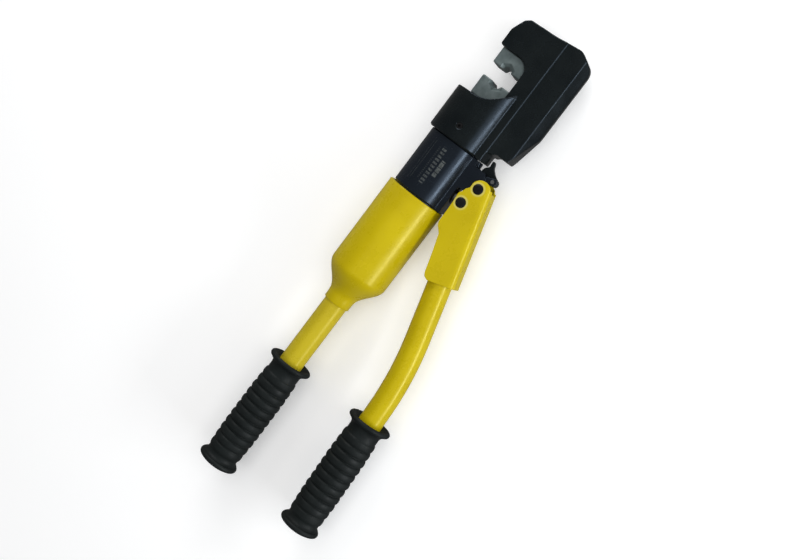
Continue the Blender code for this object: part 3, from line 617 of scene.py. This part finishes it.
def black_oxide():
    """Black-oxide pins, clips and screws."""
    f = Finish("black_oxide", (0.020, 0.020, 0.022), 0.35, 0.5)
    tone = f.noise(140.0, 5.0)
    base = f.ramp(tone, [(0.30, (0.007, 0.007, 0.008)), (0.72, (0.015, 0.015, 0.016))])
    f.colour(f.mix(f.edge_wear_and_sheen(0.56, 0.70), base, (0.03, 0.03, 0.03)))
    f.roughness(f.spread(f.noise(260.0, 5.0), 0.28, 0.46))
    f.bump(f.noise(500.0, 3.0), 0.08, 0.06)
    return f.mat


def valve_brass():
    f = Finish("valve_brass", (0.60, 0.42, 0.18), 0.35, 1.0)
    tone = f.noise(150.0, 4.0)
    f.colour(f.ramp(tone, [(0.30, (0.50, 0.34, 0.13)), (0.72, (0.68, 0.49, 0.22))]))
    f.roughness(f.spread(f.noise(300.0, 4.0), 0.26, 0.42))
    return f.mat


def seal_rubber():
    f = Finish("seal_rubber", (0.02, 0.018, 0.016), 0.55)
    tone = f.noise(200.0, 4.0)
    f.colour(f.ramp(tone, [(0.30, (0.014, 0.012, 0.010)), (0.72, (0.030, 0.026, 0.022))]))
    f.roughness(f.spread(f.noise(350.0, 4.0), 0.45, 0.62))
    return f.mat


# ---------------------------------------------------------------- cylinder
def lug_plate():
    """Pump lug: a boss under the cylinder that narrows to the fulcrum eye."""
    x, y = FULCRUM
    outline = [(LUG_LEFT, -20.0), (LUG_LEFT, -41.0)]
    outline += arc(FULCRUM, 7.4, 190, 335, 24)
    outline += [(x + 7.6, y + 0.5), (390.4, -46.4), (392.8, -44.6), (392.8, BOSS_LOW)]
    outline += [(BOSS_FRONT, BOSS_LOW), (BOSS_FRONT, -20.0)]
    return extruded("lug_guide", outline, BOSS_HALF_WIDTH)


def lever_cheeks():
    outline = [(384.6, -43.0)] + arc(LEVER_PIVOT, 4.2, 215, 350, 18) + [(388.6, -40.5)]
    return extruded("leg_guide", outline, 8.0)


def make_cylinder_body(mat):
    shoulder = CYLINDER_SHOULDER
    profile = [
        (NOSE_FRONT, 0), (NOSE_FRONT, NOSE_R - 1.0), (NOSE_FRONT - 1.0, NOSE_R),
        (shoulder, NOSE_R), (shoulder, CYLINDER_R - 0.6), (shoulder - 0.6, CYLINDER_R),
        (CYLINDER_REAR + 0.5, CYLINDER_R), (CYLINDER_REAR, CYLINDER_R - 0.5),
        (CYLINDER_REAR, SPIGOT_R), (SPIGOT_REAR, SPIGOT_R), (SPIGOT_REAR, TANK_NOSE_R),
        (TANK_NOSE_REAR, TANK_NOSE_R), (TANK_NOSE_REAR, 0)]
    body = turned("cylinder_casting", profile)
    boss = block("boss_guide", (334.6, -30.8, -BOSS_HALF_WIDTH), (BOSS_FRONT, -18.0, BOSS_HALF_WIDTH))
    rib = block("rib_guide", (388.0, RIB_LOW, -RIB_HALF), (BOSS_FRONT - 0.4, -28.0, RIB_HALF))
    join(body, boss, lug_plate(), rib, lever_cheeks())
    x, y = LEVER_PIVOT
    cut(body,
        round_bar("ram_bore", (BORE_BOTTOM, 0, 0), (1, 0, 0), 80, BORE_R, steps=ROUND_STEPS),
        ring("nose_groove", 431.6, 428.4, NOSE_R + 1.0, 25.3),
        ring("seal_groove", 325.4, 322.6, SPIGOT_R + 1.0, 25.1),
        round_bar("gland_bore", (PLUNGER_X, -18.3, 0), (0, -1, 0), 30, 9.2),
        round_bar("pump_bore", (PLUNGER_X, 3.0, 0), (0, -1, 0), 60, PLUNGER_R + 0.15),
        round_bar("suction_seat", (290, 0, 0), (1, 0, 0), 28, 4.2),
        round_bar("outlet_seat", (365.2, -1.0, 0), (1, 0, 0), 10, 3.2),
        round_bar("relief_bore", (290, 11.0, 0), (1, 0, 0), 40, 3.3),
        round_bar("release_bore", (368.5, RELEASE_Y, 0), (1, 0, 0), 30, 2.15),
        round_bar("fulcrum_bore", (FULCRUM[0], FULCRUM[1], -20), (0, 0, 1), 40, PIN_R + 0.1),
        round_bar("lever_bore", (x, y, -20), (0, 0, 1), 40, 2.1),
        extruded("lever_slot", [(383.2, -37.6), (383.2, -62.0), (399.5, -62.0), (399.5, -37.6)], 3.8))
    soften(body, 0.5, 1)
    return fit_piece(body, mat, "body", "cylinder_paint", "cylinder_body")


# ---------------------------------------------------------------- reservoir
def tank_outer():
    """Outer side of the reservoir: straight wall, eased shoulder, neck with a lip."""
    points = [(TANK_FRONT, TANK_R - 0.9), (TANK_FRONT - 0.3, TANK_R - 0.25), (TANK_FRONT - 0.9, TANK_R)]
    for i in range(SHOULDER_STEPS + 1):
        t = i / SHOULDER_STEPS
        ease = t * t * (3 - 2 * t)
        points.append((SHOULDER_FRONT - t * SHOULDER_LENGTH, TANK_R - (TANK_R - SHOULDER_END_R) * ease))
    points += [(205.0, NECK_R), (TANK_REAR + 0.9, NECK_R), (TANK_REAR + 0.3, NECK_R - 0.25),
               (TANK_REAR, NECK_R - 0.8)]
    return points


def make_reservoir(mat):
    inner = [(TANK_REAR, TUBE_R + 0.25), (212.5, TUBE_R + 0.25), (217.0, 14.5), (222.0, 20.5),
             (228.0, 26.5), (236.5, 29.3), (243.0, 29.9), (TANK_FRONT, 27.7)]
    shell = turned("reservoir_casting", tank_outer() + inner, closed=True)
    return fit_piece(smooth(shell, 40), mat, "body", "yellow_paint", "reservoir_shell")


# ---------------------------------------------------------------- handles
def grip_outer():
    """Outer side of a grip: dished guard, rounded ribs with sharp valleys, end bead."""
    top = GRIP_LENGTH
    points = [(top - 3.4, 15.0), (top - 2.2, 17.0), (top - 0.9, 19.6), (top - 0.3, 21.4)]
    points += arc((top - 2.9, GRIP_GUARD_R - 2.7), 2.7, 10, 160, 12)
    points += [(top - 6.6, 20.4), (top - 7.9, 18.6), (top - 9.6, 17.5), (top - 12.0, GRIP_NECK_R)]
    last_rib = top - 23.0
    points.append((last_rib + GRIP_RIB_PITCH / 2 + 0.3, GRIP_NECK_R))
    per_rib = 12
    for i in range(GRIP_RIBS):
        peak = last_rib - i * GRIP_RIB_PITCH
        fade = min(1.0, 0.55 + 0.2 * min(i, GRIP_RIBS - 1 - i))
        for k in range(per_rib + 1):
            t = 2 * k / per_rib - 1
            height = math.sqrt(max(0.0, 1 - t * t)) ** 0.9
            points.append((peak - t * GRIP_RIB_PITCH * 0.46,
                           GRIP_VALLEY_R + (GRIP_RIB_R - GRIP_VALLEY_R) * height * fade))
    points += [(13.2, 17.2), (10.6, 17.4), (9.2, 18.4), (8.2, 20.0)]
    points += arc((4.9, GRIP_END_R - 3.0), 3.0, 10, 165, 12)
    points += [(1.2, 18.0), (0.5, 15.0), (0.1, 9.0), (0, 4.0), (0, 0)]
    return points


def make_grip(name, start, heading, mat, body, node):
    bore = TUBE_R + 0.1
    profile = [(4.0, 0), (4.0, bore), (GRIP_LENGTH - 5.0, bore), (GRIP_LENGTH - 4.0, bore + 0.6)]
    grip = turned(name, profile + grip_outer(), start=start, heading=heading, steps=96)
    return fit_piece(smooth(grip, 50), mat, body, "grip_rubber", node)


def handle_path():
    """Centre line of the moving handle from inside the bracket to the grip's end."""
    corner = Vector(HANDLE_CORNER)
    run = Vector((math.cos(HANDLE_RUN_ANGLE), math.sin(HANDLE_RUN_ANGLE)))
    tail = Vector((math.cos(HANDLE_GRIP_ANGLE), math.sin(HANDLE_GRIP_ANGLE)))
    turn = HANDLE_RUN_ANGLE - HANDLE_GRIP_ANGLE
    first = corner + run * (HANDLE_BEND_R * math.tan(turn / 2))
    centre = first + Vector((-run.y, run.x)) * HANDLE_BEND_R
    points = [corner + run * ((HANDLE_INNER_END - corner.x) / run.x)]
    steps = 32
    for i in range(steps + 1):
        angle = HANDLE_RUN_ANGLE - turn * i / steps
        points.append(centre + Vector((math.sin(angle), -math.cos(angle))) * HANDLE_BEND_R)
    points.append(corner - tail * ((corner.x - MOVING_GRIP_START - 4.6) / tail.x))
    return [(p.x, p.y, 0.0) for p in points]


def make_handles(yellow, rubber):
    profile = [(FIXED_TUBE_END, TUBE_BORE_R), (FIXED_TUBE_END, TUBE_R), (FIXED_TUBE_REAR, TUBE_R),
               (FIXED_TUBE_REAR, TUBE_BORE_R)]
    tube = turned("fixed_tube", profile, closed=True)
    fit_piece(smooth(tube), yellow, "body", "yellow_paint", "fixed_handle_tube")
    make_grip("fixed_grip", (FIXED_GRIP_START, 0, 0), 0.0, rubber, "body", "fixed_handle_grip")

    path = handle_path()
    bent = tube_along("moving_tube", path, TUBE_R, 96)
    ends = [Vector(path[0]) * 2 - Vector(path[1]), Vector(path[-1]) * 2 - Vector(path[-2])]
    cut(bent, tube_along("moving_bore", [ends[0]] + path[1:-1] + [ends[1]], TUBE_BORE_R, 64))
    fit_piece(smooth(bent, 40), yellow, "moving_handle", "yellow_paint", "moving_handle_tube")
    corner = Vector(HANDLE_CORNER)
    heading = HANDLE_GRIP_ANGLE
    reach = (corner.x - MOVING_GRIP_START) / math.cos(heading)
    start = corner - Vector((math.cos(heading), math.sin(heading))) * reach
    make_grip("moving_grip", (start.x, start.y, 0), heading, rubber, "moving_handle", "moving_handle_grip")


def bracket_outline():
    """Side view of the folded bracket, with its tube end, hump and fulcrum end."""
    along = Vector((math.cos(BRACKET_ANGLE), math.sin(BRACKET_ANGLE)))
    low = Vector(WEB_LOW) + Vector((along.y, -along.x))
    high = low + along * BRACKET_LENGTH
    corners = [(low.x, low.y, 0), (high.x, high.y, 0), (382.4, -60.0, 0.8)]
    outline = rounded(corners, 4)
    outline += arc((376.2, -51.6), BRACKET_END_R, -35, 78, 24)
    outline += [(373.2, -41.5), (370.0, -38.8)]
    outline += arc((361.2, -40.6), 5.2, 38, 110, 12)
    outline += [(350.0, -36.5), (328.4, -37.0), (324.8, -38.7), (319.0, -44.3), (301.8, -50.2)]
    outline += [(281.0, -56.5), (277.3, -58.7), (275.6, -63.0)]
    return outline


def make_bracket(mat):
    """U-section folded from sheet, its mouth towards the cylinder."""
    depth = 60.0
    half = BRACKET_HALF
    inner = half - BRACKET_WALL
    section = [(depth, half, 0), (0, half, FOLD_OUTER_R), (0, -half, FOLD_OUTER_R), (depth, -half, 0),
               (depth, -inner, 0), (BRACKET_WALL, -inner, FOLD_INNER_R),
               (BRACKET_WALL, inner, FOLD_INNER_R), (depth, inner, 0)]
    across = (-math.sin(BRACKET_ANGLE), math.cos(BRACKET_ANGLE), 0)
    rotation = to_direction(across, (0, 0, 1))
    middle = (WEB_LOW[0] + 50, WEB_LOW[1] + 50 * math.tan(BRACKET_ANGLE), 0)
    channel = extruded("folded_bracket", rounded(section, 10), 80.0, rotation, middle)
    intersect(channel, extruded("bracket_side", bracket_outline(), half + 3))
    cut(channel,
        block("web_notch", (380.0, -68.0, -WEB_NOTCH_HALF), (394.0, -44.0, WEB_NOTCH_HALF)),
        round_bar("drive_hole", (*DRIVE_PIN, -20), (0, 0, 1), 40, PIN_R + 0.12),
        round_bar("fulcrum_hole", (*FULCRUM, -20), (0, 0, 1), 40, PIN_R + 0.12))
    soften(channel, 0.4, 2)
    return fit_piece(channel, mat, "moving_handle", "yellow_paint", "handle_bracket")


def make_pivot_pin(name, place, mat, body, node):
    """Pin with a domed head and a rim, and a clip groove at the far end."""
    top = BRACKET_HALF + 0.3
    profile = [(top + 1.0, 0), (top + 0.98, 1.4), (top + 0.9, 2.8), (top + 0.7, 4.0)]
    profile += [(top + 0.4, 4.9), (top + 0.1, 5.35), (top, 5.4), (top, PIN_R), (-top, PIN_R)]
    profile += [(-top, 3.2), (-top - 1.1, 3.2), (-top - 1.1, PIN_R), (-top - 1.9, PIN_R)]
    profile += [(-top - 2.4, 3.4), (-top - 2.4, 0)]
    pin = turned(name, profile, start=(*place, 0), steps=SMALL_STEPS, upright=True)
    return fit_piece(smooth(pin, 40), mat, body, "black_steel", node)


# ---------------------------------------------------------------- pump and release
def make_plunger(mat):
    rod = round_bar("pump_plunger", (PLUNGER_X, -5.0, 0), (0, -1, 0), 34.5, PLUNGER_R, steps=64)
    x, y = DRIVE_PIN
    eye = bevelled(block("eye_guide", (x - 9.4, y - 7.6, -9.0), (x + 9.6, y + 6.4, 9.0)), 1.6)
    join(rod, eye)
    half = PIN_R + 0.3
    slot = arc((x + SLOT_REACH, y), half, -90, 90, 20) + arc((x - SLOT_REACH, y), half, 90, 270, 20)
    cut(rod, extruded("eye_slot", slot, 15.0))
    return fit_piece(smooth(rod, 30), mat, "plunger", "bright_steel", "plunger")


def make_gland(mat):
    bore = PLUNGER_R + 0.1
    profile = [(-22.0, bore), (-22.0, 9.0), (-30.6, 9.0), (-31.1, 8.8), (-31.4, 8.2), (-31.4, bore)]
    gland = turned("gland_nut", profile, start=(PLUNGER_X, 0, 0), heading=math.pi / 2, closed=True,
                   steps=64)
    return fit_piece(smooth(gland, 40), mat, "body", "black_steel", "pump_gland")


def make_release(mat):
    x, y = LEVER_PIVOT
    outline = arc(LEVER_PIVOT, 4.4, 205, 320, 20)
    outline += [(397.4, -50.8), (400.4, -47.6), (402.4, -46.2), (405.2, -45.2)]
    outline += [(406.8, -44.2), (407.4, -43.0), (407.1, -42.0), (406.2, -41.6), (403.6, -41.8)]
    outline += [(401.2, -42.2), (399.8, -41.6), (398.0, -39.6), (396.4, -38.6), (394.0, -38.0)]
    outline += [(392.4, -38.1), (391.8, -38.6), (391.4, -44.0)]
    lever = extruded("thumb_lever", outline, 3.4)
    cut(lever, round_bar("lever_hole", (x, y, -20), (0, 0, 1), 40, 2.12))
    soften(lever, 0.3, 3)
    return fit_piece(lever, mat, "release_lever", "black_paint", "release_lever")


# ---------------------------------------------------------------- head and dies
def mouth_curve():
    """Edge where the collar's rim sweeps into the spine, from its open side down."""
    points = [(MOUTH_X, 60.0), (MOUTH_X, MOUTH_Y)]
    points += arc((MOUTH_X + MOUTH_R, MOUTH_Y), MOUTH_R, 180, 225, 24)[1:]
    last = points[-1]
    reach = last[1] - THROAT_FLOOR
    points.append((last[0] + reach, THROAT_FLOOR))
    return points


def head_outline():
    """Side view of the spine and the jaw, before the throat is cut."""
    corners = [(404.0, -20.0, 0), (399.2, -30.0, 0), (399.2, -38.8, 1.5), (413.6, -38.8, 6.0),
               (413.6, -56.4, 1.5), (450.0, -66.5, 14.0), (531.5, -66.5, 14.0), (541.7, -49.6, 12.0),
               (538.2, -22.0, 20.0), (537.0, 9.0, 5.0), (533.0, 14.2, 4.0), (519.6, 19.9, 2.0),
               (502.2, 19.9, 2.0), (501.0, 10.0, 0), (440.0, 10.0, 0)]
    return rounded(corners, 10)


def head_section():
    """End view: flat cheeks at the throat, a small step, then flanks that fall to a chamfered back."""
    step = [(-33.4, HEAD_HALF), (-34.3, HEAD_HALF - 1.1)]
    back = [(-58.0, 14.8), (-65.6, 5.0), (-66.7, 3.0)]
    upper = [(30.0, HEAD_HALF)] + step + back
    return upper + [(y, -z) for y, z in reversed(upper)]


def make_head(mat):
    collar = turned("head_forging", [(482.0, 0), (482.0, COLLAR_R), (COLLAR_REAR + 1.5, COLLAR_R),
                                     (COLLAR_REAR, COLLAR_R - 1.5), (COLLAR_REAR, 0)])
    curve = mouth_curve()
    turn = Vector(curve[-2]) + Vector((40.0, -40.0))
    beyond = curve[:-1] + [tuple(turn), (600.0, -60.0), (600.0, 60.0)]
    cut(collar, extruded("collar_trim", beyond, 60.0))
    slab = extruded("slab_guide", head_outline(), 30.0)
    intersect(slab, extruded("section_guide", head_section(), 120.0, AXIAL, (470.0, 0, 0)))
    join(collar, slab)
    throat = curve + rounded([(curve[-1][0] + 5, THROAT_FLOOR, 0),
                              (JAW_SEAT, THROAT_FLOOR, THROAT_CORNER_R), (JAW_SEAT, 60.0, 0)], 12)
    cut(collar,
        extruded("throat_trim", throat, 60.0),
        block("die_slot", (MOUTH_X, THROAT_FLOOR, -DIE_SLOT_HALF), (490.0, 60.0, DIE_SLOT_HALF)),
        ring("root_trim", 410.6, 380.0, 60.0, ROOT_R),
        round_bar("nose_bore", (380.0, 0, 0), (1, 0, 0), COLLAR_WALL - 380.0, COLLAR_BORE_R, ROUND_STEPS),
        round_bar("rod_bore", (430.0, 0, 0), (1, 0, 0), 52.0, ROD_R + 0.3, ROUND_STEPS),
        ring("collar_groove", 431.6, 428.4, 28.3, COLLAR_BORE_R - 1.0),
        round_bar("screw_hole", (414.5, 0, 20.0), (0, 0, 1), 30.0, 3.2))
    soften(collar, 0.6, 5)
    return fit_piece(collar, mat, "head", "black_paint", "c_head")


def die_outline(base, land, corner):
    """Half-hexagon die between its seat and its land; corner rounds the throat side."""
    way = 1.0 if land > base else -1.0
    depth = HEX_SIDE * math.sqrt(3) / 2
    notch = [(land, HEX_SIDE, 0), (land - way * depth, HEX_SIDE / 2, 0),
             (land - way * depth, -HEX_SIDE / 2, 0), (land, -HEX_SIDE, 0)]
    corners = [(base, DIE_HIGH_Y, 0), (land, DIE_HIGH_Y, 0)] + notch
    corners += [(land, DIE_LOW_Y, 0), (base, DIE_LOW_Y, corner)]
    return rounded(corners, 10)


def finish_die(die, land):
    """Open both ends of the half hexagon with six-sided cones and break every edge."""
    near = DIE_HALF_THICKNESS + 2.0
    deep = FLARE + 4.0
    wide = HEX_SIDE + FLARE + 2.0
    cones = []
    for way in (1, -1):
        bm = bmesh.new()
        bmesh.ops.create_cone(bm, cap_ends=True, segments=6, radius1=wide, radius2=wide - deep, depth=deep)
        rotation = Vector((0, 0, 1)).rotation_difference(Vector((0, 0, -way))).to_matrix()
        cones.append(from_bmesh("flare", bm, rotation, (land, 0, way * (near - deep / 2))))
    bevelled(die, 1.2, angle=50, segments=2)
    return soften(cut(die, *cones), 0.3, 2)


def make_dies(mat):
    upper = extruded("upper_crimp_die", die_outline(JAW_SEAT - 0.3, UPPER_DIE_LAND, THROAT_CORNER_R),
                     DIE_HALF_THICKNESS)
    fit_piece(finish_die(upper, UPPER_DIE_LAND), mat, "head", "die_steel", "upper_die")
    lower = extruded("lower_crimp_die", die_outline(LOWER_DIE_BASE, LOWER_DIE_LAND, 0), DIE_HALF_THICKNESS)
    fit_piece(finish_die(lower, LOWER_DIE_LAND), mat, "ram", "die_steel", "lower_die")


def make_ram(mat):
    front = tool_box("ram")[1].x
    piston = BORE_R - 0.15
    profile = [(front, 0), (front, ROD_R - 0.8), (front - 0.25, ROD_R - 0.25), (front - 0.8, ROD_R),
               (391.0, ROD_R), (391.0, piston), (387.0, piston), (387.0, 20.0), (382.6, 20.0),
               (382.6, piston), (375.0, piston), (375.0, 0)]
    ram = turned("ram_piston", profile)
    return fit_piece(smooth(ram, 40), mat, "ram", "bright_steel", "ram")


def make_spring(name, node, body, moving_x, turns, wire_radius, mat):
    """Coil along X with an even pitch, filling the CAD node's box; the anchor at its moving end is worked out but
    not used.
    """
    low, high = tool_box(node)
    middle = (low + high) / 2
    radius = (high.y - low.y) / 2 - wire_radius
    length = high.x - low.x - 2 * wire_radius
    per_turn = 40
    count = int(turns * per_turn)
    ring_steps = 16
    along = Vector((1, 0, 0))
    bm = bmesh.new()
    loops = []
    for i in range(count + 1):
        angle = 2 * math.pi * i / per_turn
        out = Vector((0.0, math.cos(angle), math.sin(angle)))
        centre = Vector((low.x + wire_radius + length * i / count, middle.y, middle.z)) + out * radius
        loop = []
        for k in range(ring_steps):
            a = 2 * math.pi * k / ring_steps
            loop.append(bm.verts.new(centre + wire_radius * (math.cos(a) * out + math.sin(a) * along)))
        loops.append(loop)
    for one, two in zip(loops, loops[1:]):
        for k in range(ring_steps):
            bm.faces.new((one[k], one[(k + 1) % ring_steps], two[(k + 1) % ring_steps], two[k]))
    bm.faces.new(loops[0])
    bm.faces.new(loops[-1])
    spring = fit_piece(smooth(from_bmesh(name, bm), 50), mat, body, "bright_steel", node)
    anchor = (Vector((moving_x(low, high), middle.y, middle.z)) + TOOL_ORIGIN) * MM
    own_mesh(spring)
    return spring


def dress_cad_nodes(finishes):
    """Finishes for the CAD nodes that stay as they are."""
    replaced = {"cylinder_body", "reservoir_shell", "fixed_handle_tube", "fixed_handle_grip", "drive_pin",
                "moving_handle_tube", "moving_handle_grip", "handle_bracket", "fulcrum_pin", "plunger",
                "pump_gland", "release_lever", "c_head", "upper_die", "lower_die", "ram",
                "return_spring", "release_valve_spring"}
    for entry in frame["record"]["subparts"]:
        if entry["node"] in replaced:
            continue
        obj = frame["nodes"][entry["node"]]
        obj.data.materials.clear()
        obj.data.materials.append(finishes[entry["material_slot"]])


# ---------------------------------------------------------------- stage
def area_light(name, place, target, width, height, power, colour):
    light = bpy.data.lights.new(name, "AREA")
    light.shape = "RECTANGLE"
    light.size = width
    light.size_y = height
    light.energy = power
    light.color = colour
    obj = new_object(name, light)
    obj.location = place
    obj.rotation_euler = (Vector(place) - Vector(target)).to_track_quat("Z", "X").to_euler()
    return obj


def make_stage():
    floor_mat = Finish("pale_floor", (0.90, 0.90, 0.90), 0.8)
    tone = floor_mat.noise(3.0, 2.0)
    floor_mat.colour(floor_mat.ramp(tone, [(0.3, (0.895, 0.895, 0.895)), (0.7, (0.91, 0.91, 0.91))]))
    bm = bmesh.new()
    bmesh.ops.create_grid(bm, x_segments=1, y_segments=1, size=6000)
    floor = from_bmesh("floor", bm, FLAT, (0, 0, -TOOL_ORIGIN.z))
    floor.data.materials.append(floor_mat.mat)
    floor.visible_glossy = False
    floor_mat.shader.inputs["Emission Color"].default_value = (1.0, 1.0, 1.0, 1.0)
    floor_mat.shader.inputs["Emission Strength"].default_value = 0.22

    world = bpy.data.worlds.new("studio")
    bpy.context.scene.world = world
    world.use_nodes = True
    world.node_tree.nodes["Background"].inputs["Color"].default_value = (1.0, 1.0, 1.0, 1.0)
    world.node_tree.nodes["Background"].inputs["Strength"].default_value = 0.15

    middle = Vector((0.0, 0.0, 0.033))
    overhead = area_light("overhead_softbox", (0.1, -0.45, 2.6), middle, 2.8, 2.8, 47.0, (1.0, 1.0, 1.0))
    overhead.visible_glossy = False
    area_light("strip_softbox", (0.1, -1.31, 0.50), middle, 0.22, 1.1, 9.5, (0.95, 0.98, 1.0))
    area_light("fade_softbox", (0.1, -1.19, 0.84), middle, 0.44, 1.1, 2.0, (0.85, 0.93, 1.0))
    area_light("rim_softbox", (1.0, 0.72, 0.72), middle, 0.30, 1.0, 7.0, (1.0, 1.0, 1.0))
    area_light("end_softbox", (1.35, 0.30, 0.24), middle, 0.24, 0.5, 2.0, (1.0, 1.0, 1.0))
    bpy.context.scene.view_settings.view_transform = "Standard"


def make_camera():
    """The camera looks down at the tool, leaning towards the moving handle and the head."""
    lean_x = math.radians(7.0)
    lean_y = math.radians(12.5)
    roll = math.radians(52.8)
    distance = 1200.0
    target = Vector((257.3, -38.3, 0.0))
    back = Vector((math.tan(lean_x), -math.tan(lean_y), 1.0)).normalized()
    along = (Vector((1, 0, 0)) - back * back.x).normalized()
    across = back.cross(along)
    right = math.cos(roll) * along - math.sin(roll) * across
    up = math.sin(roll) * along + math.cos(roll) * across
    place = (target + back * distance + TOOL_ORIGIN) * MM
    camera = bpy.data.cameras.new("camera")
    camera.lens = 54.0
    camera.sensor_width = 36.0
    obj = new_object("camera", camera)
    matrix = Matrix((right, up, back)).transposed().to_4x4()
    matrix.translation = place
    obj.matrix_world = matrix
    bpy.context.scene.camera = obj


# ---------------------------------------------------------------- assembly
make_camera()
make_stage()
FINISHES = {
    "yellow_paint": yellow_enamel(),
    "black_paint": forged_black(),
    "cylinder_paint": cylinder_black(),
    "grip_rubber": moulded_rubber(),
    "black_steel": black_oxide(),
    "bright_steel": bright_steel(),
    "die_steel": die_steel(),
    "valve_brass": valve_brass(),
    "seal_rubber": seal_rubber(),
}
make_cylinder_body(FINISHES["cylinder_paint"])
make_reservoir(FINISHES["yellow_paint"])
make_handles(FINISHES["yellow_paint"], FINISHES["grip_rubber"])
make_bracket(FINISHES["yellow_paint"])
make_pivot_pin("drive_bolt", DRIVE_PIN, FINISHES["black_steel"], "moving_handle", "drive_pin")
make_pivot_pin("fulcrum_bolt", FULCRUM, FINISHES["black_steel"], "body", "fulcrum_pin")
make_plunger(FINISHES["bright_steel"])
make_gland(FINISHES["black_steel"])
make_release(FINISHES["black_paint"])
make_head(FINISHES["black_paint"])
make_dies(FINISHES["die_steel"])
make_ram(FINISHES["bright_steel"])
make_spring("ram_return_coil", "return_spring", "ram", lambda low, high: low.x, 5, 1.3,
            FINISHES["bright_steel"])
make_spring("valve_coil", "release_valve_spring", "release_valve",
            lambda low, high: high.x, 5, 0.25, FINISHES["bright_steel"])
dress_cad_nodes(FINISHES)
